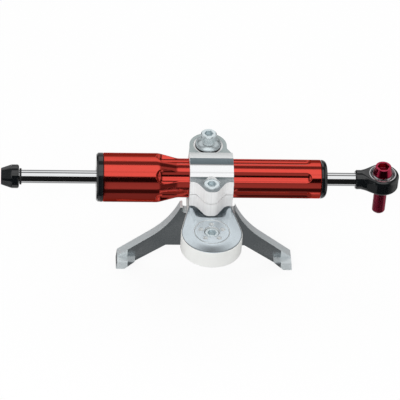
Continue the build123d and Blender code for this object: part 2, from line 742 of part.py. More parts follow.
# Wipers, seals and bushes: plain rings round the shaft
with BuildPart() as reservoir_wiper:
    with BuildSketch(damper_plane):
        with BuildLine():
            Polyline((end_cap_left, shaft_hole_r), (end_cap_left, wiper_r - seated),
                     (wiper_pocket_end, wiper_r - seated), (wiper_pocket_end, shaft_r + running),
                     (end_cap_left + shaft_hole_r - shaft_r, shaft_r + running), close=True)
        make_face()
    revolve(axis=damper_axis)
reservoir_wiper.part.label = "reservoir_wiper"
export_step(reservoir_wiper.part, "parts/reservoir_wiper.step")

with BuildPart() as reservoir_shaft_seal:
    with BuildSketch(damper_plane):
        with BuildLine():
            Polyline((seal_start, shaft_r + running), (seal_start, seal_r - seated),
                     (seal_end, seal_r - seated), (seal_end, shaft_r + running), close=True)
        make_face()
    revolve(axis=damper_axis)
reservoir_shaft_seal.part.label = "reservoir_shaft_seal"
export_step(reservoir_shaft_seal.part, "parts/reservoir_shaft_seal.step")

# Sleeve round the shaft, from the left cap to the bulkhead, with a ported flange
tube_r = seal_r - seated
with BuildPart() as guide_tube:
    with BuildSketch(damper_plane):
        with BuildLine():
            Polyline((seal_end, bush_r), (seal_end, tube_r), (tube_flange_left, tube_r),
                     (tube_flange_left, bulkhead_seat_r - seated),
                     (tube_flange_right, bulkhead_seat_r - seated), (tube_flange_right, tube_bore_r),
                     (bush_right, tube_bore_r), (bush_right, bush_r),
                     close=True)
        make_face()
    revolve(axis=damper_axis)
    with Locations(around((tube_flange_left + tube_flange_right) / 2, port_circle_r, 180 - gas_hole_angle)):
        Cylinder(port_r, 2 * (tube_flange_right - tube_flange_left), rotation=(0, 90, 0), mode=Mode.SUBTRACT)
guide_tube.part.label = "guide_tube"
export_step(guide_tube.part, "parts/guide_tube.step")

with BuildPart() as reservoir_bush:
    with BuildSketch(damper_plane):
        with BuildLine():
            Polyline((bush_left, shaft_r + running), (bush_left, bush_r - seated),
                     (bush_right, bush_r - seated), (bush_right, shaft_r + running), close=True)
        make_face()
    revolve(axis=damper_axis)
reservoir_bush.part.label = "reservoir_bush"
export_step(reservoir_bush.part, "parts/reservoir_bush.step")

bulkhead_r = bulkhead_seat_r - seated
bulkhead_ring_floor = bulkhead_r - o_ring_section
with BuildPart() as cylinder_bulkhead:
    with BuildSketch(damper_plane):
        with BuildLine():
            Polyline(
                (bulkhead_left, seal_r), (bulkhead_left, bulkhead_r),
                (bulkhead_ring_x - o_ring_groove_w / 2, bulkhead_r),
                (bulkhead_ring_x - o_ring_groove_w / 2, bulkhead_ring_floor),
                (bulkhead_ring_x + o_ring_groove_w / 2, bulkhead_ring_floor),
                (bulkhead_ring_x + o_ring_groove_w / 2, bulkhead_r),
                (bulkhead_right, bulkhead_r), (bulkhead_right, shaft_r + running),
                (bulkhead_seal_end, shaft_r + running), (bulkhead_seal_end, seal_r), close=True,
            )
        make_face()
    revolve(axis=damper_axis)
    with Locations(around((bulkhead_left + bulkhead_right) / 2, (seal_r + bulkhead_ring_floor) / 2,
                          180 - gas_hole_angle)):
        Cylinder(port_r, 2 * (bulkhead_right - bulkhead_left), rotation=(0, 90, 0), mode=Mode.SUBTRACT)
cylinder_bulkhead.part.label = "cylinder_bulkhead"
export_step(cylinder_bulkhead.part, "parts/cylinder_bulkhead.step")

with BuildPart() as bulkhead_seal:
    with BuildSketch(damper_plane):
        with BuildLine():
            Polyline((bulkhead_left, shaft_r + running), (bulkhead_left, seal_r - seated),
                     (bulkhead_seal_end, seal_r - seated), (bulkhead_seal_end, shaft_r + running), close=True)
        make_face()
    revolve(axis=damper_axis)
bulkhead_seal.part.label = "bulkhead_seal"
export_step(bulkhead_seal.part, "parts/bulkhead_seal.step")

with BuildPart() as bulkhead_o_ring:
    with Locations((bulkhead_ring_x, axis_y, axis_z)):
        Torus(ring_major(bulkhead_ring_floor, bulkhead_seat_r),
              ring_minor(bulkhead_ring_floor, bulkhead_seat_r), rotation=(0, 90, 0))
bulkhead_o_ring.part.label = "bulkhead_o_ring"
export_step(bulkhead_o_ring.part, "parts/bulkhead_o_ring.step")

# Floating piston between the gas and the oil, sliding on the sleeve
separator_mid = (separator_left + separator_right) / 2
separator_outer_floor = reservoir_r - running - o_ring_section
separator_inner_floor = tube_r + running + o_ring_section
with BuildPart() as separator_piston:
    with BuildSketch(damper_plane):
        with BuildLine():
            Polyline(
                (separator_left, tube_r + running), (separator_left, reservoir_r - running),
                (separator_mid - o_ring_groove_w / 2, reservoir_r - running),
                (separator_mid - o_ring_groove_w / 2, separator_outer_floor),
                (separator_mid + o_ring_groove_w / 2, separator_outer_floor),
                (separator_mid + o_ring_groove_w / 2, reservoir_r - running),
                (separator_right, reservoir_r - running), (separator_right, tube_r + running),
                (separator_mid + o_ring_groove_w / 2, tube_r + running),
                (separator_mid + o_ring_groove_w / 2, separator_inner_floor),
                (separator_mid - o_ring_groove_w / 2, separator_inner_floor),
                (separator_mid - o_ring_groove_w / 2, tube_r + running), close=True,
            )
        make_face()
    revolve(axis=damper_axis)
separator_piston.part.label = "separator_piston"
export_step(separator_piston.part, "parts/separator_piston.step")

with BuildPart() as separator_outer_o_ring:
    with Locations((separator_mid, axis_y, axis_z)):
        Torus(ring_major(separator_outer_floor, reservoir_r) - seated / 2,
              ring_minor(separator_outer_floor, reservoir_r) - seated / 2, rotation=(0, 90, 0))
separator_outer_o_ring.part.label = "separator_outer_o_ring"
export_step(separator_outer_o_ring.part, "parts/separator_outer_o_ring.step")

with BuildPart() as separator_inner_o_ring:
    with Locations((separator_mid, axis_y, axis_z)):
        Torus(ring_major(tube_r, separator_inner_floor) + seated / 2,
              ring_minor(tube_r, separator_inner_floor) - seated / 2, rotation=(0, 90, 0))
separator_inner_o_ring.part.label = "separator_inner_o_ring"
export_step(separator_inner_o_ring.part, "parts/separator_inner_o_ring.step")

# Shaft guide, bush, seal, cap and wiper at the right end
guide_r = cylinder_r - seated
guide_ring_floor = guide_r - o_ring_section
with BuildPart() as front_guide:
    with BuildSketch(damper_plane):
        with BuildLine():
            Polyline(
                (guide_left, shaft_hole_r), (guide_left, guide_r),
                (guide_ring_x - o_ring_groove_w / 2, guide_r),
                (guide_ring_x - o_ring_groove_w / 2, guide_ring_floor),
                (guide_ring_x + o_ring_groove_w / 2, guide_ring_floor),
                (guide_ring_x + o_ring_groove_w / 2, guide_r),
                (guide_right, guide_r), (guide_right, bush_r), (guide_lip, bush_r), (guide_lip, shaft_hole_r),
                close=True,
            )
        make_face()
    revolve(axis=damper_axis)
front_guide.part.label = "front_guide"
export_step(front_guide.part, "parts/front_guide.step")

with BuildPart() as front_bush:
    with BuildSketch(damper_plane):
        with BuildLine():
            Polyline((guide_lip, shaft_r + running), (guide_lip, bush_r - seated),
                     (guide_right, bush_r - seated), (guide_right, shaft_r + running), close=True)
        make_face()
    revolve(axis=damper_axis)
front_bush.part.label = "front_bush"
export_step(front_bush.part, "parts/front_bush.step")

with BuildPart() as front_guide_o_ring:
    with Locations((guide_ring_x, axis_y, axis_z)):
        Torus(ring_major(guide_ring_floor, cylinder_r), ring_minor(guide_ring_floor, cylinder_r),
              rotation=(0, 90, 0))
front_guide_o_ring.part.label = "front_guide_o_ring"
export_step(front_guide_o_ring.part, "parts/front_guide_o_ring.step")

with BuildPart() as front_shaft_seal:
    with BuildSketch(damper_plane):
        with BuildLine():
            Polyline((guide_right, shaft_r + running), (guide_right, seal_r - seated),
                     (front_seal_end, seal_r - seated), (front_seal_end, shaft_r + running), close=True)
        make_face()
    revolve(axis=damper_axis)
front_shaft_seal.part.label = "front_shaft_seal"
export_step(front_shaft_seal.part, "parts/front_shaft_seal.step")

with BuildPart() as front_end_cap:
    with BuildSketch(damper_plane):
        with BuildLine():
            Polyline(
                (cap_thread_start, seal_r), (cap_thread_start, cap_thread_r - seated),
                (body_right, cap_thread_r - seated), (body_right, small_r),
                (front_cap_right - front_cap_round, small_r),
            )
            RadiusArc((front_cap_right - front_cap_round, small_r),
                      (front_cap_right, small_r - front_cap_round), front_cap_round)
            Polyline(
                (front_cap_right, small_r - front_cap_round), (front_cap_right, wiper_r),
                (front_wiper_start, wiper_r), (front_wiper_start, shaft_hole_r),
                (front_seal_end, shaft_hole_r), (front_seal_end, seal_r), (cap_thread_start, seal_r),
            )
        make_face()
    revolve(axis=damper_axis)
front_end_cap.part.label = "front_end_cap"
export_step(front_end_cap.part, "parts/front_end_cap.step")

with BuildPart() as front_wiper:
    with BuildSketch(damper_plane):
        with BuildLine():
            Polyline((front_wiper_start, shaft_r + running), (front_wiper_start, wiper_r - seated),
                     (front_cap_right, wiper_r - seated), (front_cap_right, shaft_hole_r),
                     (front_cap_right - shaft_hole_r + shaft_r, shaft_r + running), close=True)
        make_face()
    revolve(axis=damper_axis)
front_wiper.part.label = "front_wiper"
export_step(front_wiper.part, "parts/front_wiper.step")

# Shaft: one rod through the damper, bored from the left for the needle, with two bleed holes
piston_left = piston_x - piston_half
piston_right = piston_x + piston_half
left_clip = piston_left - shim_count * shim_t
right_clip = piston_right + shim_count * shim_t
with BuildPart() as shaft:
    with BuildSketch(damper_plane):
        with BuildLine():
            Polyline(
                (shaft_left, needle_bore_r), (shaft_left, shaft_neck_r),
                (screw_tip_x - neck_groove_half, shaft_neck_r),
                (screw_tip_x - neck_groove_half, neck_groove_r),
                (screw_tip_x + neck_groove_half, neck_groove_r),
                (screw_tip_x + neck_groove_half, shaft_neck_r),
                (hub_left, shaft_neck_r), (hub_left, shaft_r),
                (left_clip - circlip_t, shaft_r), (left_clip - circlip_t, shaft_r - circlip_depth),
                (left_clip, shaft_r - circlip_depth), (left_clip, shaft_r),
                (right_clip, shaft_r), (right_clip, shaft_r - circlip_depth),
                (right_clip + circlip_t, shaft_r - circlip_depth), (right_clip + circlip_t, shaft_r),
                (shank_left, shaft_r), (shank_left, shank_thread_r), (shaft_right, shank_thread_r),
                (shaft_right, 0), (needle_seat_end, 0), (needle_seat_end, needle_seat_r),
                (needle_seat_x, needle_seat_r), (needle_seat_x, needle_bore_r), close=True,
            )
        make_face()
    revolve(axis=damper_axis)
    with Locations((bleed_left_x, axis_y, axis_z), (bleed_right_x, axis_y, axis_z)):
        Cylinder(bleed_hole_r, 4 * shaft_r, mode=Mode.SUBTRACT)
shaft.part.label = "shaft"
export_step(shaft.part, "parts/shaft.step")

piston_r = cylinder_r - piston_gap
band_floor = piston_r - band_depth
with BuildPart() as piston:
    with BuildSketch(damper_plane):
        with BuildLine():
            Polyline(
                (piston_left, shaft_r), (piston_left, piston_r), (piston_x - band_half, piston_r),
                (piston_x - band_half, band_floor), (piston_x + band_half, band_floor),
                (piston_x + band_half, piston_r), (piston_right, piston_r), (piston_right, shaft_r),
                close=True,
            )
        make_face()
    revolve(axis=damper_axis)
    port_angles = [k * 360 / piston_port_count for k in range(piston_port_count)]
    with Locations(*[around(piston_x, piston_port_circle_r, a) for a in port_angles]):
        Cylinder(piston_port_r, 4 * piston_half, rotation=(0, 90, 0), mode=Mode.SUBTRACT)
piston.part.label = "piston"
export_step(piston.part, "parts/piston.step")

with BuildPart() as piston_band:
    with BuildSketch(damper_plane):
        with BuildLine():
            Polyline((piston_x - band_half, band_floor), (piston_x - band_half, cylinder_r - running),
                     (piston_x + band_half, cylinder_r - running), (piston_x + band_half, band_floor),
                     close=True)
        make_face()
    revolve(axis=damper_axis)
piston_band.part.label = "piston_band"
export_step(piston_band.part, "parts/piston_band.step")

# Valve shims on each face of the piston, smaller outwards
with BuildPart() as compression_shims:
    for k in range(shim_count):
        with Locations((piston_left - (k + 0.5) * shim_t, axis_y, axis_z)):
            Cylinder(shim_first_r - k * shim_step, shim_t - seated, rotation=(0, 90, 0))
    with Locations((piston_left, axis_y, axis_z)):
        Cylinder(shaft_r, 4 * piston_half, rotation=(0, 90, 0), mode=Mode.SUBTRACT)
compression_shims.part.label = "compression_shims"
export_step(compression_shims.part, "parts/compression_shims.step")

with BuildPart() as rebound_shims:
    for k in range(shim_count):
        with Locations((piston_right + (k + 0.5) * shim_t, axis_y, axis_z)):
            Cylinder(shim_first_r - k * shim_step, shim_t - seated, rotation=(0, 90, 0))
    with Locations((piston_right, axis_y, axis_z)):
        Cylinder(shaft_r, 4 * piston_half, rotation=(0, 90, 0), mode=Mode.SUBTRACT)
rebound_shims.part.label = "rebound_shims"
export_step(rebound_shims.part, "parts/rebound_shims.step")

with BuildPart() as piston_circlips:
    with Locations((left_clip - circlip_t / 2, axis_y, axis_z), (right_clip + circlip_t / 2, axis_y, axis_z)):
        Cylinder(circlip_r, circlip_t - seated, rotation=(0, 90, 0))
    with Locations((piston_x, axis_y, axis_z)):
        Cylinder(shaft_r - circlip_depth, 6 * piston_half, rotation=(0, 90, 0), mode=Mode.SUBTRACT)
piston_circlips.part.label = "piston_circlips"
export_step(piston_circlips.part, "parts/piston_circlips.step")

with BuildPart() as shaft_stop_ring:
    with BuildSketch(damper_plane):
        with BuildLine():
            Polyline((stop_ring_left, shaft_r), (stop_ring_left, stop_ring_r), (stop_ring_right, stop_ring_r),
                     (stop_ring_right, shaft_r), close=True)
        make_face()
    revolve(axis=damper_axis)
    fillet(shaft_stop_ring.edges().filter_by(GeomType.CIRCLE).sort_by(SortBy.RADIUS)[-2:], bleed_hole_r / 2)
shaft_stop_ring.part.label = "shaft_stop_ring"
export_step(shaft_stop_ring.part, "parts/shaft_stop_ring.step")

# Click adjuster: hub on the shaft, ball and spring in its pocket
hub_r = knob_skirt_r - swing_gap
detent_point = around(hub_left, detent_circle_r, flute_first)
with BuildPart() as adjuster_hub:
    with BuildSketch(damper_plane):
        with BuildLine():
            Polyline((hub_left, shaft_r), (hub_left, hub_r), (hub_right, hub_r), (hub_right, shaft_r),
                     close=True)
        make_face()
    revolve(axis=damper_axis)
    with Locations(around((hub_left + detent_pocket_end) / 2, detent_circle_r, flute_first)):
        Cylinder(detent_ball_r + swing_gap, detent_pocket_end - hub_left, rotation=(0, 90, 0),
                 mode=Mode.SUBTRACT)
adjuster_hub.part.label = "adjuster_hub"
export_step(adjuster_hub.part, "parts/adjuster_hub.step")

with BuildPart() as adjuster_detent_ball:
    with Locations(around(detent_x, detent_circle_r, flute_first)):
        Sphere(detent_ball_r)
adjuster_detent_ball.part.label = "adjuster_detent_ball"
export_step(adjuster_detent_ball.part, "parts/adjuster_detent_ball.step")

spring_start = detent_x + detent_ball_r + detent_wire_r
spring_length = detent_pocket_end - spring_start - detent_wire_r
spring_coil_r = detent_ball_r - detent_wire_r
spring_centre = around(spring_start, detent_circle_r, flute_first)
with BuildPart() as adjuster_detent_spring:
    with BuildLine() as coil:
        Helix(pitch=5 * detent_wire_r, height=spring_length, radius=spring_coil_r,
              center=spring_centre, direction=(1, 0, 0))
    with BuildSketch(Plane(origin=coil.wire() @ 0, z_dir=coil.wire() % 0)):
        Circle(detent_wire_r)
    sweep(path=coil.wire(), is_frenet=True)
adjuster_detent_spring.part.label = "adjuster_detent_spring"
export_step(adjuster_detent_spring.part, "parts/adjuster_detent_spring.step")

# Knob: a blunt cone with six flats, on a short round flange
with BuildPart() as adjuster_knob:
    with BuildSketch(damper_plane):
        with BuildLine():
            Polyline((knob_left, 0), (knob_left, knob_nose_r - knob_edge / 2),
                     (knob_left + knob_edge / 2, knob_nose_r), (knob_cone_end, knob_cone_r),
                     (knob_flange_start + knob_edge, knob_flange_r),
                     (knob_flange_start + knob_edge, 0), close=True)
        make_face()
    revolve(axis=damper_axis)
    with BuildSketch(Plane(origin=(knob_left, axis_y, axis_z), x_dir=(0, 1, 0), z_dir=(1, 0, 0))):
        RegularPolygon(knob_nose_flats, knob_side_count, major_radius=False, rotation=knob_turned)
    extrude(amount=knob_flats_length, taper=-knob_taper_angle, mode=Mode.INTERSECT)
    with BuildSketch(damper_plane):
        with BuildLine():
            Polyline((knob_flange_start, 0), (knob_flange_start, knob_flange_r - knob_edge),
                     (knob_flange_start + knob_edge, knob_flange_r), (knob_right - knob_edge, knob_flange_r),
                     (knob_right, knob_flange_r - knob_edge), (knob_right, 0), close=True)
        make_face()
    revolve(axis=damper_axis)
    with BuildSketch(damper_plane):
        with BuildLine():
            Polyline(
                (knob_needle_hole_end, 0), (knob_needle_hole_end, needle_r + running),
                (knob_floor, needle_r + running), (knob_floor, shaft_neck_r + running),
                (knob_skirt_end, shaft_neck_r + running), (knob_skirt_end, knob_skirt_r),
                (knob_right, knob_skirt_r), (knob_right, 0), close=True,
            )
        make_face()
    revolve(axis=damper_axis, mode=Mode.SUBTRACT)
    with Locations((detent_x, axis_y, axis_z)):
        Torus(detent_circle_r, detent_ball_r + swing_gap, rotation=(0, 90, 0), mode=Mode.SUBTRACT)
    with Locations((screw_tip_x, axis_y, axis_z)):
        Cylinder(screw_tip_r + seated, 2 * knob_flange_r, rotation=(0, 0, 0),
                 align=(Align.CENTER, Align.CENTER, Align.MAX), mode=Mode.SUBTRACT)
adjuster_knob.part.label = "adjuster_knob"
export_step(adjuster_knob.part, "parts/adjuster_knob.step")

# Small screw from below whose tip runs in the shaft's neck groove and keeps the knob on
with BuildPart() as knob_retaining_screw:
    with Locations((screw_tip_x, axis_y, axis_z - knob_screw_outer_r)):
        Cylinder(screw_tip_r, knob_screw_outer_r - knob_screw_inner_r,
                 align=(Align.CENTER, Align.CENTER, Align.MIN))
        Cylinder(screw_tip_r / 2, screw_tip_r, align=(Align.CENTER, Align.CENTER, Align.MIN),
                 mode=Mode.SUBTRACT)
knob_retaining_screw.part.label = "knob_retaining_screw"
export_step(knob_retaining_screw.part, "parts/knob_retaining_screw.step")

needle_ring_floor = needle_bore_r - 2 * needle_ring_minor - seated
with BuildPart() as metering_needle:
    with BuildSketch(damper_plane):
        with BuildLine():
            Polyline(
                (needle_left, 0), (needle_left, needle_r), (needle_land_left, needle_r),
                (needle_land_left, needle_land_r), (needle_ring_x - 2 * needle_ring_minor, needle_land_r),
                (needle_ring_x - 2 * needle_ring_minor, needle_ring_floor),
                (needle_ring_x + 2 * needle_ring_minor, needle_ring_floor),
                (needle_ring_x + 2 * needle_ring_minor, needle_land_r), (needle_land_right, needle_land_r),
                (needle_land_right, needle_r), (needle_taper_x, needle_r), (needle_tip_x, needle_tip_r),
                (needle_tip_x, 0), close=True,
            )
        make_face()
    revolve(axis=damper_axis)
metering_needle.part.label = "metering_needle"
export_step(metering_needle.part, "parts/metering_needle.step")

with BuildPart() as needle_o_ring:
    with Locations((needle_ring_x, axis_y, axis_z)):
        Torus(needle_ring_floor + needle_ring_minor, needle_ring_minor - seated / 2, rotation=(0, 90, 0))
needle_o_ring.part.label = "needle_o_ring"
export_step(needle_o_ring.part, "parts/needle_o_ring.step")

# Rod end: round shank that flares into a flat ring
neck_sections = (
    (shank_straight_end, shank_r, shank_r, shank_r - neck_flat),
    (shank_straight_end + neck_waist_step, neck_waist_half_w, neck_waist_half_h, neck_waist_round),
    (shank_straight_end + neck_mid_step, neck_mid_half_w, neck_mid_half_h, neck_mid_round),
    (rod_end_x - neck_root_back, neck_root_half_w, head_half, head_round),
)
with BuildPart() as rod_end_housing:
    with BuildSketch(damper_plane):
        with BuildLine():
            Polyline((shank_left, 0), (shank_left, shank_r - shank_edge), (shank_left + shank_edge, shank_r),
                     (shank_straight_end, shank_r), (shank_straight_end, 0), close=True)
        make_face()
    revolve(axis=damper_axis)
    for section_x, half_w, half_h, corner in neck_sections:
        with BuildSketch(Plane(origin=(section_x, axis_y, axis_z), x_dir=(0, 1, 0), z_dir=(1, 0, 0))):
            RectangleRounded(2 * half_w, 2 * half_h, corner)
    loft()
    with BuildSketch(rod_plane):
        with Locations((head_r / 2, 0)):
            Rectangle(head_r, 2 * head_half)
        fillet(vertices().group_by(Axis.X)[-1], head_round)
    revolve(axis=rod_axis)
    with Locations((rod_end_x, axis_y, axis_z)):
        Cylinder(race_r, 4 * head_half, mode=Mode.SUBTRACT)
    with Locations((shank_left, axis_y, axis_z)):
        Cylinder(shank_thread_r, shank_hole_end - shank_left, rotation=(0, 90, 0),
                 align=(Align.CENTER, Align.CENTER, Align.MIN), mode=Mode.SUBTRACT)
rod_end_housing.part.label = "rod_end_housing"
export_step(rod_end_housing.part, "parts/rod_end_housing.step")

race_ball_r = ball_r + running
race_land_r = sqrt(race_ball_r ** 2 - race_land_half ** 2)
with BuildPart() as rod_end_race:
    with BuildSketch(rod_plane):
        with BuildLine():
            Polyline((race_land_r, race_land_half), (race_mouth_r, head_half), (race_r - seated, head_half),
                     (race_r - seated, -head_half), (race_mouth_r, -head_half),
                     (race_land_r, -race_land_half))
            ThreePointArc((race_land_r, -race_land_half), (race_ball_r, 0), (race_land_r, race_land_half))
        make_face()
    revolve(axis=rod_axis)
rod_end_race.part.label = "rod_end_race"
export_step(rod_end_race.part, "parts/rod_end_race.step")

with BuildPart() as rod_end_ball:
    with Locations((rod_end_x, axis_y, axis_z)):
        Sphere(ball_r)
        Cylinder(2 * ball_r, 2 * ball_half, mode=Mode.INTERSECT)
        Cylinder(rod_bolt_r + running, 4 * ball_half, mode=Mode.SUBTRACT)
rod_end_ball.part.label = "rod_end_ball"
export_step(rod_end_ball.part, "parts/rod_end_ball.step")

# Bolt through the ball, with a tapered socket head
with BuildPart() as rod_end_bolt:
    with BuildSketch(rod_plane):
        with BuildLine():
            Polyline(
                (0, rod_bolt_tip), (rod_bolt_thread_r - rod_bolt_tip_edge, rod_bolt_tip),
                (rod_bolt_thread_r, rod_bolt_tip + rod_bolt_tip_edge),
                (rod_bolt_thread_r, rod_bolt_thread_top),
                (rod_bolt_r, rod_bolt_thread_top), (rod_bolt_r, ball_half),
                (rod_bolt_base_r, ball_half), (rod_bolt_base_r, ball_half + rod_bolt_edge / 2),
                (rod_bolt_top_r, ball_half + rod_bolt_head_h), (0, ball_half + rod_bolt_head_h), close=True,
            )
        make_face()
    revolve(axis=rod_axis)
    with BuildSketch(Plane.XY.offset(axis_z + ball_half + rod_bolt_head_h)):
        with Locations((rod_end_x, axis_y)):
            RegularPolygon(rod_bolt_socket_flats / 2, 6, major_radius=False)
    extrude(amount=-rod_bolt_socket_depth, mode=Mode.SUBTRACT)
rod_end_bolt.part.label = "rod_end_bolt"
export_step(rod_end_bolt.part, "parts/rod_end_bolt.step")
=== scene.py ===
"""Motorcycle steering damper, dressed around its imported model."""

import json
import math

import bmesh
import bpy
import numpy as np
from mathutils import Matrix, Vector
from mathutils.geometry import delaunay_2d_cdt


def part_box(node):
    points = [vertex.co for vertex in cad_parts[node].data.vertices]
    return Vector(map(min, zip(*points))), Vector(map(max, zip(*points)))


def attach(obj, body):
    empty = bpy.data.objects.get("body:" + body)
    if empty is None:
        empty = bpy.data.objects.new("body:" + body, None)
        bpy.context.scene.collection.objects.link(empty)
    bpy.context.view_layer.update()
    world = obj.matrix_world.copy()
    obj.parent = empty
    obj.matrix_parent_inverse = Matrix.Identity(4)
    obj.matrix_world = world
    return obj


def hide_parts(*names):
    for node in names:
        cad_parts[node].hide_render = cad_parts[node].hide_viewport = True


bl_info = {
    "name": "Steering damper",
    "version": (1, 0, 0),
    "blender": (4, 5, 0),
    "location": "View3D > Sidebar > Damper",
    "description": "Builds the damper's visible pieces, its finishes and a small studio",
    "category": "Object",
}

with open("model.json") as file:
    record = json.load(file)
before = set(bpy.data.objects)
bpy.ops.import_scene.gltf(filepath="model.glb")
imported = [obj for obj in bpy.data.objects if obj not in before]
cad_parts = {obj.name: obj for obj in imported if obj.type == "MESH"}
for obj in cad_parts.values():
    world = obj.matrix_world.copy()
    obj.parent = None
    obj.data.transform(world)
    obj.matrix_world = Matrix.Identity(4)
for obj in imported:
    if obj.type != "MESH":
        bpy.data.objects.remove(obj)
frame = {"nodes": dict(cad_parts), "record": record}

NODES = frame["nodes"]
RECORD = frame["record"]
SLOT_OF = {s["node"]: s["material_slot"] for s in RECORD["subparts"]}
BODY_OF = {node: body for body, nodes in RECORD["behaviour"]["bodies"].items() for node in nodes}
MM = 0.001


def middle(node):
    """Middle of a CAD node's box."""
    low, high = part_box(node)
    return (low + high) / 2


def size(node):
    """Lengths of a CAD node's box."""
    low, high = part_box(node)
    return high - low


AXIS = Vector((0, middle("shaft").y, middle("shaft").z))
PIVOT = middle("pivot_bolt")
ROD_END = middle("rod_end_ball")


# Sizes and colours that a user would change

def length(name, description, millimetres):
    return bpy.props.FloatProperty(name=name, description=description, default=millimetres * MM,
                                   unit="LENGTH", precision=5)


def number(name, description, value):
    return bpy.props.FloatProperty(name=name, description=description, default=value)


def colour(name, description, value):
    return bpy.props.FloatVectorProperty(name=name, description=description, default=value, size=3,
                                         subtype="COLOR", min=0, max=1)


class StudioSettings(bpy.types.PropertyGroup):
    azimuth: number("Azimuth", "Camera's place to the right of the front, degrees", -5.2)
    elevation: number("Elevation", "Camera's height, degrees", 40.0)
    roll: number("Roll", "Clockwise turn of the picture, degrees", 3.9)
    focal: number("Focal length", "In picture widths", 6.5)
    scale: number("Scale", "Object size in view, picture widths per metre", 3.3375)
    across: number("Across", "Damper's middle in the picture, from the left", 0.5245)
    down: number("Down", "Damper's middle in the picture, from the top", 0.445375)
    white: number("Background", "Brightness behind the object", 1.0)
    fill: number("Fill", "Even light on matt surfaces", 0.75)
    key: number("Key lamp", "Power of the lamp above the front, watts", 6.0)
    rear: number("Rear lamp", "Power of the lamp behind, watts", 1.5)


class FinishSettings(bpy.types.PropertyGroup):
    red: colour("Body", "Anodised colour of the damper body", (0.80, 0.080, 0.058))
    crimson: colour("Bolt", "Anodised colour of the rod end's bolt", (0.45, 0.006, 0.05))
    black: colour("Black", "Caps, knob and rod end", (0.004, 0.005, 0.006))
    alloy: colour("Polished alloy", "Top of the arm and its disc", (0.72, 0.80, 0.85))
    matt: colour("Matt alloy", "Machined walls of arm and clamp", (0.82, 0.83, 0.81))
    # painted shade: the lugs' tops get this very dark grey
    milled: colour("Milled alloy painted dark", "Flat tops of the clamp's lugs", (0.10, 0.13, 0.14))
    bracket: colour("Bracket", "Frame bracket", (0.34, 0.38, 0.40))
    zinc: colour("Zinc", "Plated screws", (0.80, 0.89, 0.92))


class EdgeSettings(bpy.types.PropertyGroup):
    fine: length("Fine edge", "Broken edge of small machined pieces", 0.2)
    machined: length("Machined edge", "Broken edge of the clamp, arm and bracket", 0.3)
    moulded: length("Soft edge", "Rounded edge of caps, knob and rod end", 0.5)


class ArmSettings(bpy.types.PropertyGroup):
    # places along the arm are measured from the damper's axis to the front
    neck_half: length("Half width", "Half width beside the clamp", 16.6)
    taper_from: length("Taper", "Where the arm starts to widen", 18.0)
    step_from: length("Step", "Where the underside steps up", 14.5)
    step: length("Step height", "Height of that step", 3.6)
    pocket_half: length("Pocket half width", "Half width of the clamp's seat", 13.6)
    pocket_front: length("Pocket front", "Where that seat starts", 15.9)
    pocket_depth: length("Pocket depth", "That seat below the top", 8.4)
    relief: length("Body relief", "Radius kept clear round the damper's axis", 15.6)
    roll_width: length("Roll width", "Width of the slope round the disc", 9.6)
    roll_soft: length("Roll softness", "How softly that slope starts", 1.6)
    slope: number("Slope", "Fall of that slope", 0.175)
    rim: length("Rim", "Round at the top of the side wall", 1.1)
    basin_depth: length("Basin depth", "Hollow under the clamp's nose", 3.2)
    basin_half: length("Basin half width", "Half width of that hollow", 15.0)
    basin_front: length("Basin front", "Where that hollow starts", 33.5)
    basin_run: length("Basin run", "Length over which it reaches its depth", 11.0)
    grain: length("Point spacing", "Spacing of the points on the top", 0.9)


class BodySettings(bpy.types.PropertyGroup):
    large_to: length("Large end", "Where the large cylinder ends, along the damper", -39.0)
    slim_from: length("Slim start", "Where the slim cylinder starts, along the damper", -24.5)
    slim_radius: length("Slim radius", "Radius of the slim cylinder", 14.6)
    bevel: length("End bevel", "Bevel at both ends of the body", 0.6)
    flutes: bpy.props.IntProperty(name="Flutes", description="Number of flutes", default=6)
    flute_radius: length("Flute radius", "Radius of the cutter that makes a flute", 6.2)
    flute_circle: length("Flute circle", "Distance of the cutter's path from the damper's axis", 19.15)
    flute_from: length("Flute start", "Where the cutter's path starts, along the damper", -35.0)
    flute_to: length("Flute end", "Where the cutter's path ends, along the damper", 70.9)
    first: number("First flute", "Degrees from the front towards the top", 43.0)
    soft: length("Flute edge", "Round on the edges of the flutes", 0.3)
    blend: length("Cone blend", "Length over which the cone runs into each cylinder", 3.0)


class ThreadSettings(bpy.types.PropertyGroup):
    crest: length("Crest radius", "Outer radius of the thread", 4.95)
    depth: length("Depth", "Depth of the thread", 0.55)
    pitch: length("Pitch", "Distance from turn to turn", 1.25)
    chamfer: length("Chamfer", "Taper at the tip", 2.0)


def settings(name):
    return getattr(bpy.context.scene, "damper_" + name)


# Shader nodes

EDGE_ATTRIBUTE = "edge"
ALONG = (1, 0, 0)
UP = (0, 0, 1)
LINE_DEPTH = 0.02 * MM
COAT_ROUGHNESS = 0.04
MATERIALS = {}


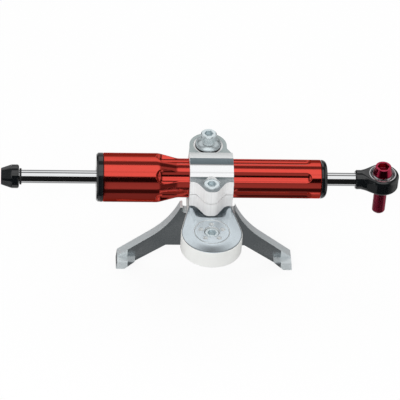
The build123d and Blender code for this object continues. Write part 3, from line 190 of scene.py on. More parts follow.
class Tree:
    """A short way to write a node tree."""

    def __init__(self, tree):
        self.tree = tree

    def add(self, kind, inputs=None, **settings):
        node = self.tree.nodes.new(kind)
        for name, value in settings.items():
            setattr(node, name, value)
        for socket, value in (inputs or {}).items():
            self.put(node.inputs[socket], value)
        return node

    def put(self, socket, value):
        if isinstance(value, bpy.types.Node):
            value = value.outputs[0]
        if isinstance(value, bpy.types.NodeSocket):
            self.tree.links.new(value, socket)
        else:
            socket.default_value = value

    def math(self, operation, *values, clamp=False):
        node = self.add("ShaderNodeMath", operation=operation, use_clamp=clamp)
        for socket, value in zip(node.inputs, values):
            self.put(socket, value)
        return node.outputs[0]

    def plus(self, one, two):
        return self.math("ADD", one, two)

    def minus(self, one, two):
        return self.math("SUBTRACT", one, two)

    def times(self, one, two):
        return self.math("MULTIPLY", one, two)

    def noise(self, where, scale, detail, **inputs):
        node = self.add("ShaderNodeTexNoise", {"Vector": where, "Scale": scale, "Detail": detail, **inputs})
        return node.outputs[0]

    def vector(self, operation, *values):
        node = self.add("ShaderNodeVectorMath", operation=operation)
        for socket, value in zip(node.inputs, values):
            self.put(socket, value)
        return node.outputs[1 if operation in ("DOT_PRODUCT", "LENGTH", "DISTANCE") else 0]

    def span(self, value, low, high, to_low=0.0, to_high=1.0):
        node = self.add("ShaderNodeMapRange", clamp=True)
        for socket, amount in zip(node.inputs, (value, low, high, to_low, to_high)):
            self.put(socket, amount)
        return node.outputs[0]

    def blend(self, factor, first, second, blend_type="MIX"):
        node = self.add("ShaderNodeMix", data_type="RGBA", blend_type=blend_type)
        for socket, value in ((node.inputs[0], factor), (node.inputs[6], first), (node.inputs[7], second)):
            self.put(socket, value)
        return node.outputs[2]

    def place(self):
        return self.add("ShaderNodeTexCoord").outputs["Object"]

    def ramp(self, factor, stops):
        node = self.add("ShaderNodeValToRGB", {0: factor})
        elements = node.color_ramp.elements
        while len(elements) < len(stops):
            elements.new(0.5)
        for element, (place, value) in zip(elements, stops):
            element.position = place
            element.color = grey(value)
        return node.outputs[0]


def add_sockets(group, direction, sockets):
    """Sockets of a node group: label and starting value, or its kind where it starts with none."""
    for label, value in sockets.items():
        kind = value if isinstance(value, str) else "Float"
        if isinstance(value, tuple):
            kind = "Vector" if len(value) == 3 else "Color"
        socket = group.interface.new_socket(label, in_out=direction, socket_type="NodeSocket" + kind)
        if not isinstance(value, str):
            socket.default_value = value


def node_group(name, inputs, outputs, build, kind="ShaderNodeTree"):
    """Makes a node group once: build(tree, input sockets, output sockets)."""
    if name in bpy.data.node_groups:
        return bpy.data.node_groups[name]
    group = bpy.data.node_groups.new(name, kind)
    add_sockets(group, "INPUT", inputs)
    add_sockets(group, "OUTPUT", outputs)
    t = Tree(group)
    entry, leave = t.add("NodeGroupInput"), t.add("NodeGroupOutput")
    build(t, entry.outputs, leave.inputs)
    return group


def grey(value):
    return (value, value, value, 1)


def cutter_lines():
    """Fine cutter lines: straight along one direction, or rings about a centre line."""
    def build(t, i, o):
        place = t.place()
        local = t.vector("SUBTRACT", place, i["Centre"])
        along = t.vector("DOT_PRODUCT", local, i["Axis"])
        radius = t.vector("LENGTH", t.vector("CROSS_PRODUCT", local, i["Axis"]))
        where = t.plus(t.times(radius, i["Rings"]), t.times(along, i["Lines"]))
        lines = t.add("ShaderNodeTexNoise", {"W": where, "Scale": i["Fineness"], "Detail": 3.0,
                                             "Roughness": 0.7}, noise_dimensions="1D").outputs[0]
        patchy = t.span(t.noise(place, 60.0, 2.0), 0.3, 0.7, 0.6, 1.0)
        t.put(o["Height"], lines)
        t.put(o["Mask"], t.times(lines, patchy))
    return node_group(
        "Cutter lines", {"Centre": (0, 0, 0), "Axis": UP, "Rings": 1.0, "Lines": 0.0, "Fineness": 4000.0},
        {"Height": "Float", "Mask": "Float"}, build)


def handling_marks():
    """Slight blotches and smears, for colour and roughness."""
    def build(t, i, o):
        place = t.place()
        broad = t.noise(place, i["Scale"], 4.0, Roughness=0.6)
        fine = t.noise(place, t.times(i["Scale"], 14.0), 2.0)
        both = t.plus(t.times(broad, 0.7), t.times(fine, 0.3))
        mask = t.span(both, 0.35, 0.65)
        t.put(o["Mask"], mask)
        shift = t.times(i["Amount"], t.minus(mask, 0.5))
        t.put(o["Roughness"], t.plus(i["Roughness"], shift))
    return node_group("Handling marks", {"Scale": 50.0, "Roughness": 0.2, "Amount": 0.1},
                      {"Mask": "Float", "Roughness": "Float"}, build)


def worn_highlit_edges():
    """Lighter colour along the edges, broken up by fine grain: part edge wear, part painted highlight where
    edges catch the light. The edges are the mesh's own attribute.
    """
    def build(t, i, o):
        edge = t.add("ShaderNodeAttribute", attribute_name=EDGE_ATTRIBUTE).outputs["Fac"]
        place = t.place()
        grain = t.noise(place, 900.0, 3.0)
        worn = t.times(edge, t.span(grain, 0.35, 0.6, 0.4, 1.0))
        mask = t.math("MULTIPLY", worn, i["Amount"], clamp=True)
        t.put(o["Color"], t.blend(mask, i["Base"], i["Rubbed"]))
    return node_group("Rubbed edges", {"Base": grey(0.5), "Rubbed": grey(0.8), "Amount": 0.5},
                      {"Color": "Color"}, build)


def group_node(t, group, **values):
    node = t.add("ShaderNodeGroup")
    node.node_tree = group
    for name, value in values.items():
        t.put(node.inputs[name], value)
    return node


def new_material(name, kind="ShaderNodeBsdfPrincipled"):
    material = bpy.data.materials.new(name)
    material.use_nodes = True
    material.node_tree.nodes.clear()
    t = Tree(material.node_tree)
    shader = t.add(kind)
    t.add("ShaderNodeOutputMaterial", {"Surface": shader})
    return material, t, shader


def glowing(name, strength):
    """A material that only gives off white light."""
    material, t, shader = new_material(name, "ShaderNodeEmission")
    shader.inputs["Strength"].default_value = strength
    return material


def surface(name, base, roughness, metallic=1.0, marks=0.06, tint=0.06, edge=0.3, worn_highlight_colour=None,
            coat=0.0, lines=0.0, centre=(0, 0, 0), axis=UP, rings=0.0, straight=1.0, fineness=3000.0,
            streaks=0.0, turned=0.0, grazing=(1, 1, 1)):
    """One finish: handling marks, lighter edges (part wear, part painted highlight) and, where lines is
    above 0, cutter lines.
    """
    base = tuple(base)
    material, t, shader = new_material(name)
    worn = group_node(t, handling_marks(), Roughness=roughness, Amount=marks)
    darker = tuple(c * (1 - tint) for c in base)
    colour_now = t.blend(worn.outputs["Mask"], (*base, 1), (*darker, 1))
    rough = worn.outputs["Roughness"]
    if lines or streaks:
        cuts = group_node(t, cutter_lines(), Centre=centre, Axis=axis, Rings=rings, Lines=straight,
                          Fineness=fineness)
        unevenness = t.times(t.minus(cuts.outputs["Mask"], 0.4), lines)
        rough = t.plus(rough, unevenness)
        bump = t.add("ShaderNodeBump", {"Strength": lines, "Distance": LINE_DEPTH,
                                        "Height": cuts.outputs["Height"]})
        t.put(shader.inputs["Normal"], bump)
        if streaks:
            shade = t.span(cuts.outputs["Mask"], 0.25, 0.6, 1.0 - streaks, 1.0)
            shade = t.add("ShaderNodeCombineColor", {0: shade, 1: shade, 2: shade})
            colour_now = t.blend(1.0, colour_now, shade, blend_type="MULTIPLY")
    # lighter edge colour: part edge wear, part painted highlight where edges catch the light
    worn_highlight = worn_highlight_colour or tuple(c + (1 - c) * 0.5 for c in base)
    edges = group_node(t, worn_highlit_edges(), Base=colour_now, Rubbed=(*worn_highlight, 1), Amount=edge)
    t.put(shader.inputs["Base Color"], edges.outputs["Color"])
    t.put(shader.inputs["Roughness"], rough)
    for label, value in (("Metallic", metallic), ("Coat Weight", coat), ("Coat Roughness", COAT_ROUGHNESS),
                         ("Specular Tint", (*grazing, 1)), ("Anisotropic", turned)):
        shader.inputs[label].default_value = value
    if turned:
        round_centre = t.vector("CROSS_PRODUCT", t.vector("SUBTRACT", t.place(), centre), axis)
        t.put(shader.inputs["Tangent"], t.vector("NORMALIZE", round_centre))
    return material


def finishes():
    """All materials, made once. The first twelve are named as the record's slots."""
    if MATERIALS:
        return MATERIALS
    f = settings("finish")
    along = {"centre": tuple(AXIS), "axis": ALONG}
    rings = {"centre": tuple(PIVOT), "rings": 1.0, "straight": 0.0}
    # each finish's lighter edge colour is part edge wear, part painted highlight
    MATERIALS.update({
        "bright_alloy": surface("Machined alloy", f.matt, 0.32, metallic=0.5, lines=0.1, **along),
        "zinc_steel": surface("Zinc plated steel", f.zinc, 0.25, metallic=0.78, marks=0.1, tint=0.12,
                              lines=0.06, **rings),
        "bare_steel": surface("Ground steel", (0.62, 0.62, 0.63), 0.2, lines=0.1, **along),
        "red_anodised": surface("Red anodised alloy", f.red, 0.12, marks=0.05, coat=0.12, lines=0.05,
                                grazing=(0.8, 0.3, 0.25), fineness=2500.0, edge=0.1,
                                worn_highlight_colour=(0.80, 0.12, 0.09), **along),
        "black_anodised": surface("Black anodised alloy", f.black, 0.12, metallic=0.0, marks=0.06, coat=0.6,
                                  edge=0.2, worn_highlight_colour=(0.05, 0.055, 0.06)),
        "inner_alloy": surface("Turned alloy", (0.72, 0.72, 0.73), 0.3, lines=0.2, **along),
        "chromed_steel": surface("Hard chrome", (0.86, 0.87, 0.88), 0.05, marks=0.02),
        "crimson_anodised": surface("Crimson anodised alloy", f.crimson, 0.2, coat=0.4, edge=0.6,
                                    worn_highlight_colour=(0.75, 0.22, 0.34)),
        "blackened_steel": surface("Blackened steel", (0.03, 0.03, 0.032), 0.35, metallic=0.6),
        "bronze": surface("Bronze", (0.62, 0.44, 0.22), 0.35, lines=0.2, **along),
        "slide_plastic": surface("Filled plastic", (0.20, 0.18, 0.16), 0.55, metallic=0.0, edge=0.0),
        "seal_rubber": surface("Seal rubber", (0.02, 0.02, 0.021), 0.6, metallic=0.0, edge=0.0),
        "polished": surface("Polished alloy", f.alloy, 0.2, tint=0.05, lines=0.06, fineness=2200.0,
                            turned=0.7, **rings),
        # painted dark reflection: a dark copy for a strip of the clamp's band
        "band_painted_dark": surface("Band painted dark", (0.14, 0.18, 0.20), 0.3, metallic=0.3, tint=0.1, lines=0.1,
                             fineness=2600.0, edge=0.0, **along),
        # painted light: a light matt copy for the clamp band's rear and for the disc's holes and sides
        "painted_light_matt": surface("Painted light matt alloy", (0.72, 0.74, 0.74), 0.4, metallic=0.1, tint=0.04, lines=0.1,
                             fineness=2600.0, edge=0.0, **along),
        "band": surface("Polished band", (0.93, 0.94, 0.95), 0.1, marks=0.04, tint=0.02, lines=0.05,
                        **along),
        "matt_wall": surface("Matt wall", f.matt, 0.45, metallic=0.15, tint=0.04, lines=0.12,
                             centre=tuple(PIVOT), fineness=1600.0),
        "nose_wall": surface("Milled wall", (0.93, 0.93, 0.93), 0.42, metallic=0.1, tint=0.03, lines=0.2,
                             axis=ALONG, fineness=700.0, streaks=0.14),
        # painted shade: a very dark copy of the milled alloy for the lugs' tops
        "milled": surface("Milled top painted dark", f.milled, 0.45, metallic=0.1, tint=0.1, lines=0.15, fineness=2600.0,
                          edge=0.6, worn_highlight_colour=(0.75, 0.78, 0.8), **along),
        "tab_top": surface("Light milled top", (0.36, 0.42, 0.42), 0.4, metallic=0.2, tint=0.08, lines=0.12,
                           fineness=2600.0, **along),
        "bracket": surface("Bracket alloy", f.bracket, 0.26, marks=0.08, tint=0.08, lines=0.08,
                           fineness=1800.0, edge=0.5, worn_highlight_colour=(0.85, 0.88, 0.9), **along),
        # lighter copies of the bracket finish, painted light for its tops, far ends and horn tops
        "lit_bracket": surface("Lit bracket", (0.66, 0.72, 0.74), 0.34, metallic=0.35, lines=0.1,
                               fineness=1800.0, edge=0.4, **along),
        "lit_horn_top": surface("Lit horn top", (0.90, 0.91, 0.91), 0.4, metallic=0.2, tint=0.04),
    })
    return MATERIALS


# Meshes

WELD = 0.002 * MM
FLAT_ANGLE = math.radians(0.5)  # faces that meet at less are joined
BEVEL_ANGLE = math.radians(35)  # edges sharper than this are broken
SHARP_ANGLE = math.radians(32)  # and then shaded sharp
WEAR_HIGHLIGHT_ANGLE, WEAR_HIGHLIGHT_FROM = math.radians(20), 0.7  # edge wear and painted highlight grow from 0.7 to 1.7 times this angle


def new_object(name, data):
    piece = bpy.data.objects.new(name, data)
    bpy.context.scene.collection.objects.link(piece)
    return piece


def shade_smooth(mesh, sharp=None):
    """Smooth shading, broken where faces meet at more than the angle sharp, in degrees."""
    for face in mesh.polygons:
        face.use_smooth = True
    if sharp:
        mesh.set_sharp_from_angle(angle=math.radians(sharp))


def closed_mesh(name, bm, sharp):
    """The finished mesh of a closed shape."""
    bmesh.ops.recalc_face_normals(bm, faces=bm.faces)
    mesh = bpy.data.meshes.new(name)
    bm.to_mesh(mesh)
    bm.free()
    shade_smooth(mesh, sharp)
    return mesh


def plain_mesh(piece):
    """Turns an object's modifiers into its own plain mesh."""
    bpy.context.view_layer.update()
    graph = bpy.context.evaluated_depsgraph_get()
    mesh = bpy.data.meshes.new_from_object(piece.evaluated_get(graph))
    piece.modifiers.clear()
    piece.data = mesh
    return piece


def mark_edges(mesh):
    """Writes how sharply the surface turns at each point, 0 to 1, for the lighter edges of wear and painted
    highlight.
    """
    bm = bmesh.new()
    bm.from_mesh(mesh)
    turn = []
    for vert in bm.verts:
        angles = [e.calc_face_angle(0.0) for e in vert.link_edges]
        turn.append(min(1.0, max(0.0, max(angles, default=0.0) / WEAR_HIGHLIGHT_ANGLE - WEAR_HIGHLIGHT_FROM)))
    bm.free()
    attribute = mesh.attributes.new(EDGE_ATTRIBUTE, "FLOAT", "POINT")
    attribute.data.foreach_set("value", turn)


def paint(mesh, slots, rule):
    """Gives each face the material that rule(centre, normal) names."""
    looks = finishes()
    mesh.materials.clear()
    for slot in slots:
        mesh.materials.append(looks[slot])
    for face in mesh.polygons:
        face.material_index = slots.index(rule(face.center, face.normal))


def settle(piece, node, slots, rule=None):
    """Edge marks and materials of a piece that stands for one CAD node; hides that node and attaches the
    piece to its body.
    """
    mark_edges(piece.data)
    paint(piece.data, slots, rule or (lambda centre, normal: slots[0]))
    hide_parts(node)
    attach(piece, BODY_OF[node])
    return piece


def finished_copy(node, width, segments=2, cuts=()):
    """A copy of a CAD node with its edges broken and its shading evened out.

    cuts are (point, normal) of planes that part its faces, so that each part can have its own finish.
    """
    mesh = NODES[node].data.copy()
    bm = bmesh.new()
    bm.from_mesh(mesh)
    bmesh.ops.remove_doubles(bm, verts=bm.verts, dist=WELD)
    bmesh.ops.dissolve_limit(bm, angle_limit=FLAT_ANGLE, verts=bm.verts, edges=bm.edges)
    for point, normal in cuts:
        bmesh.ops.bisect_plane(bm, geom=bm.verts[:] + bm.edges[:] + bm.faces[:], dist=WELD / 2,
                               plane_co=point, plane_no=normal)
    bm.to_mesh(mesh)
    bm.free()
    piece = new_object(node + "_finished", mesh)
    shade_smooth(mesh)
    bevel = piece.modifiers.new("Broken edges", "BEVEL")
    bevel.width, bevel.segments = width, segments
    bevel.limit_method, bevel.angle_limit = "ANGLE", BEVEL_ANGLE
    bevel.use_clamp_overlap = True
    plain_mesh(piece)
    piece.data.set_sharp_from_angle(angle=SHARP_ANGLE)
    even = piece.modifiers.new("Even shading", "WEIGHTED_NORMAL")
    even.keep_sharp = True
    return plain_mesh(piece)


def dress(node, width, segments=2):
    """A CAD piece with broken edges in its own finish."""
    settle(finished_copy(node, width, segments), node, [SLOT_OF[node]])


# Stage

FLAGS = [  # what metal sees round the rod: degrees (0 in front, 90 overhead, 180 behind) and grey level
    (-110, 0.35), (-64, 0.35), (-60, 0.80), (-50, 0.80), (-46, 0.25), (-40, 0.04), (-20, 0.04), (-14, 0.36),
    (14, 0.30), (19, 0.01), (42, 0.01), (46, 1.0), (61, 1.0), (65, 0.72), (69, 1.0), (98, 1.0), (102, 0.16),
    (120, 0.16), (124, 0.95), (150, 0.80), (156, 0.25), (190, 0.30), (210, 0.75), (240, 0.85),
]
SEAM = 110.0  # degrees below the front where the ring of grey levels closes
FADE = (0.3, 0.55, 1.0, 0.12)  # from 0.3 to 0.55 of the way to the rod's line it dims from 1 to 0.12
SIDES = (0.62, 0.85)  # and between these it turns into one even grey
SIDE_GREY = 0.6
KEY_PLACE, REAR_PLACE = (-0.35, -0.95, 0.75), (0.2, 0.7, 0.7)  # lamps, metres from the damper's axis
LAMP_SIZE = 0.5
FLOOR_GAP = 0.2 * MM
FLOOR_HALF = 2.0
FLOOR_GREY, FLOOR_ROUGHNESS, FLOOR_GLOW = 0.92, 0.9, 0.9
SHADE_FRONT, SHADE_REAR, SHADE_LIGHT = 90 * MM, 40 * MM, 0.2  # sheet under the body
CARD_FRONT, CARD_TOP, CARD_LIGHT = 60 * MM, 62 * MM, 0.01  # dark cards in front of the rod
CARD_PAST = 60 * MM  # they reach this far past the rod's ends
CARD_LEFT_LAP, CARD_RIGHT_GAP = 2.5 * MM, 8 * MM  # one laps the body, one is clear of it


def sheet_object(name, low, high, z):
    """A level sheet between two corners."""
    mesh = bpy.data.meshes.new(name)
    corners = [(low[0], low[1], z), (high[0], low[1], z), (high[0], high[1], z), (low[0], high[1], z)]
    mesh.from_pydata(corners, [], [(0, 1, 2, 3)])
    return new_object(name, mesh)


class DAMPER_OT_stage(bpy.types.Operator):
    """Camera at the photograph's angle, pale floor, studio surroundings and lamps"""
    bl_idname = "damper.stage"
    bl_label = "Stage"

    def execute(self, context):
        s = settings("studio")
        self.camera(context, s)
        self.world(context, s)
        self.floor()
        for name, spot, power in (("Key", KEY_PLACE, s.key), ("Rear", REAR_PLACE, s.rear)):
            lamp = bpy.data.lights.new(name, "AREA")
            lamp.size, lamp.energy = LAMP_SIZE, power
            holder = new_object(name, lamp)
            holder.location = Vector(spot) + AXIS
            holder.rotation_mode = "QUATERNION"
            holder.rotation_quaternion = (-Vector(spot)).to_track_quat("-Z", "Y")
            holder.visible_glossy = False
        context.scene.view_settings.view_transform = "Standard"
        return {"FINISHED"}

    def camera(self, context, s):
        a, e, r = (math.radians(v) for v in (s.azimuth, s.elevation, s.roll))
        back = Vector((math.sin(a) * math.cos(e), -math.cos(a) * math.cos(e), math.sin(e)))
        level = Vector((math.cos(a), math.sin(a), 0))
        rise = back.cross(level)
        right = math.cos(r) * level + math.sin(r) * rise
        up = math.cos(r) * rise - math.sin(r) * level
        turn = Matrix((right, up, back)).transposed()
        aim = Vector(((s.across - 0.5) / s.focal, (0.5 - s.down) / s.focal, -1)).normalized()
        turn = turn @ aim.rotation_difference(Vector((0, 0, -1))).to_matrix()
        lens = bpy.data.cameras.new("Camera")
        lens.sensor_width = 36.0
        lens.lens = lens.sensor_width * s.focal
        lens.clip_start, lens.clip_end = 0.05, 50
        camera = new_object("Camera", lens)
        camera.matrix_world = Matrix.Translation(AXIS + back * (s.focal / s.scale)) @ turn.to_4x4()
        context.scene.camera = camera

    def world(self, context, s):
        world = bpy.data.worlds.new("Studio")
        context.scene.world = world
        world.use_nodes = True
        world.node_tree.nodes.clear()
        t = Tree(world.node_tree)
        way = t.add("ShaderNodeSeparateXYZ", {0: t.add("ShaderNodeTexCoord").outputs["Generated"]})
        front = t.times(way.outputs[1], -1.0)
        angle = t.math("DEGREES", t.math("ARCTAN2", way.outputs[2], front))
        turned = t.math("MODULO", t.plus(angle, SEAM + 360.0), 360.0)
        ring = t.ramp(t.math("DIVIDE", turned, 360.0), [((d + SEAM) / 360.0, v) for d, v in FLAGS])
        side = t.math("ABSOLUTE", way.outputs[0])
        far = t.span(side, *SIDES)
        ring = t.blend(far, ring, grey(SIDE_GREY))
        sides = t.math("MAXIMUM", t.span(side, *FADE), far)
        path = t.add("ShaderNodeLightPath")
        seen, studio, soft = (t.add("ShaderNodeBackground", {"Color": tone, "Strength": strength}) for
                              tone, strength in ((grey(1.0), s.white), (ring, sides), (grey(1.0), s.fill)))
        glossy = t.math("MAXIMUM", path.outputs["Is Glossy Ray"], path.outputs["Is Transmission Ray"])
        around = t.add("ShaderNodeMixShader", {0: glossy, 1: soft, 2: studio})
        whole = t.add("ShaderNodeMixShader", {0: path.outputs["Is Camera Ray"], 1: around, 2: seen})
        t.add("ShaderNodeOutputWorld", {"Surface": whole})

    def floor(self):
        floor = sheet_object("Floor", (-FLOOR_HALF, -FLOOR_HALF), (FLOOR_HALF, FLOOR_HALF), -FLOOR_GAP)
        material, t, shader = new_material("Pale floor")
        shader.inputs["Base Color"].default_value = grey(FLOOR_GREY)
        shader.inputs["Roughness"].default_value = FLOOR_ROUGHNESS
        glow = t.add("ShaderNodeEmission")
        seen = t.times(t.add("ShaderNodeLightPath").outputs["Is Camera Ray"], FLOOR_GLOW)
        both = t.add("ShaderNodeMixShader", {0: seen, 1: shader, 2: glow})
        t.put(t.tree.nodes["Material Output"].inputs["Surface"], both)
        floor.data.materials.append(material)
        floor.visible_glossy = False
        low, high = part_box("damper_body")
        rod_low, rod_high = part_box("shaft")
        shade = sheet_object("Shade", (low.x, low.y - SHADE_FRONT), (high.x, high.y + SHADE_REAR),
                             FLOOR_GAP)
        shade.data.materials.append(glowing("Shaded floor", SHADE_LIGHT))
        sheets, dark = [shade], glowing("Dark card", CARD_LIGHT)
        for name, left, right in (("Left rod card", rod_low.x - CARD_PAST, low.x + CARD_LEFT_LAP),
                                  ("Right rod card", high.x + CARD_RIGHT_GAP, rod_high.x + CARD_PAST)):
            card = sheet_object(name, (left, 0), (right, 1), 0)
            for vert in card.data.vertices:
                z = AXIS.z + CARD_TOP if vert.co.y else FLOOR_GAP
                vert.co = (vert.co.x, AXIS.y - CARD_FRONT, z)
            card.data.materials.append(dark)
            sheets.append(card)
        for sheet in sheets:
            sheet.visible_camera = sheet.visible_diffuse = sheet.visible_shadow = False


# Pieces

DISC_GAP, DISC_EDGE, DISC_EDGE_WIDTH = 0.05 * MM, 0.3 * MM, 0.35 * MM  # the disc's bore, its broken edge
BEARING_RADIUS, HOLE = 11 * MM, 7.2 * MM  # the bearing's seat and the hole under it
BEARING_TOP, BEARING_FLOOR = 9.7 * MM, 2.7 * MM  # that seat's ends above the underside
SADDLE_X, SADDLE_Y = 8.5 * MM, 12 * MM  # half the spacing of the saddle screws
SADDLE_HEAD, SADDLE_SINK, SADDLE_HOLE = 4.7 * MM, 2.2 * MM, 2.5 * MM  # a screw's sink and its hole
SHARP = 0.01 * MM  # half the width in plan of a wall in the arm's height field
REAR_POINT = 4 * MM  # the arm's rear edge has a point this far to each side
RIM_ROWS = (0.08, 0.2, 0.35, 0.55, 0.8, 1.1, 1.6, 2.2, 2.9, 3.8, 5.0, 6.3, 7.8)  # mm inside its outline
DISC_ROWS = (0.12, 0.35, 1.0)  # mm outside the disc's bore
FRONT_STEPS, BORE_STEPS, SCREW_STEPS = 110, 96, 32  # steps round the front, a bore and a screw
GRID_CLEAR = 0.6  # the grid keeps this share of its spacing clear of the last row
LEAST_GAP = 0.08 * MM  # loose points nearer to an edge are left out
TO_MM = 1000
ARM_SHARP, TOP_FACING = 38, 0.8
ARM_LOOKS = ["polished", "matt_wall"]


def round_points(centre, radius, angles):
    """Points in plan round a centre."""
    return [Vector(centre) + radius * Vector((math.cos(v), math.sin(v))) for v in angles]


def ring_points(centre, radius, count=BORE_STEPS):
    return round_points(centre, radius, (2 * math.pi * k / count for k in range(count)))


def relief_sheet(bm, loops, loose, height, upward):
    """Triangles between plan loops, the first one outside, through loose points at height(points)."""
    points, edges = [], []
    for loop in loops:
        first = len(points)
        points += [Vector(p) for p in loop]
        edges += [(first + k, first + (k + 1) % len(loop)) for k in range(len(loop))]
    edge_points = np.array([tuple(p) for p in points])
    keep = np.array([tuple(p) for p in loose])
    inside = within(keep, loops[0])
    for loop in loops[1:]:
        inside &= ~within(keep, loop)
    keep = keep[inside]
    gap = np.min(np.linalg.norm(keep[:, None] - edge_points[None], axis=2), axis=1)
    points += [Vector(p) for p in keep[gap > LEAST_GAP]]
    out = delaunay_2d_cdt([p * TO_MM for p in points], edges, [], 0, 1e-5)
    flat = np.array([tuple(p / TO_MM) for p in out[0]])
    heights = height(flat)
    verts = [bm.verts.new((p[0], p[1], z)) for p, z in zip(flat, heights)]
    new_of = {old: new for new, olds in enumerate(out[3]) for old in olds}
    found, first, holes = [], 0, []
    for loop in loops:
        numbers = [new_of[first + k] for k in range(len(loop))]
        found.append([verts[k] for k in numbers])
        holes.append(set(numbers))
        first += len(loop)
    centres = flat[np.array([list(tri) for tri in out[2]])].mean(axis=1)
    for tri, wanted in zip(out[2], within(centres, loops[0])):
        if wanted and not any(hole.issuperset(tri) for hole in holes[1:]):
            bm.faces.new([verts[k] for k in (tri if upward else reversed(tri))])
    for vert in [v for v in verts if not v.link_faces]:
        bm.verts.remove(vert)
    return found


def within(points, loop):
    """Which points lie inside a closed plan loop."""
    inside = np.zeros(len(points), bool)
    for one, two in zip(loop, loop[1:] + loop[:1]):
        crosses = (one.y > points[:, 1]) != (two.y > points[:, 1])
        rise = two.y - one.y or 1.0  # nothing crosses a level edge
        at = one.x + (points[:, 1] - one.y) * (two.x - one.x) / rise
        inside ^= crosses & (points[:, 0] < at)
    return inside


def strip(bm, one, two):
    """Faces between two closed rings of points."""
    for k in range(len(one)):
        following = (k + 1) % len(one)
        bm.faces.new((one[k], two[k], two[following], one[following]))


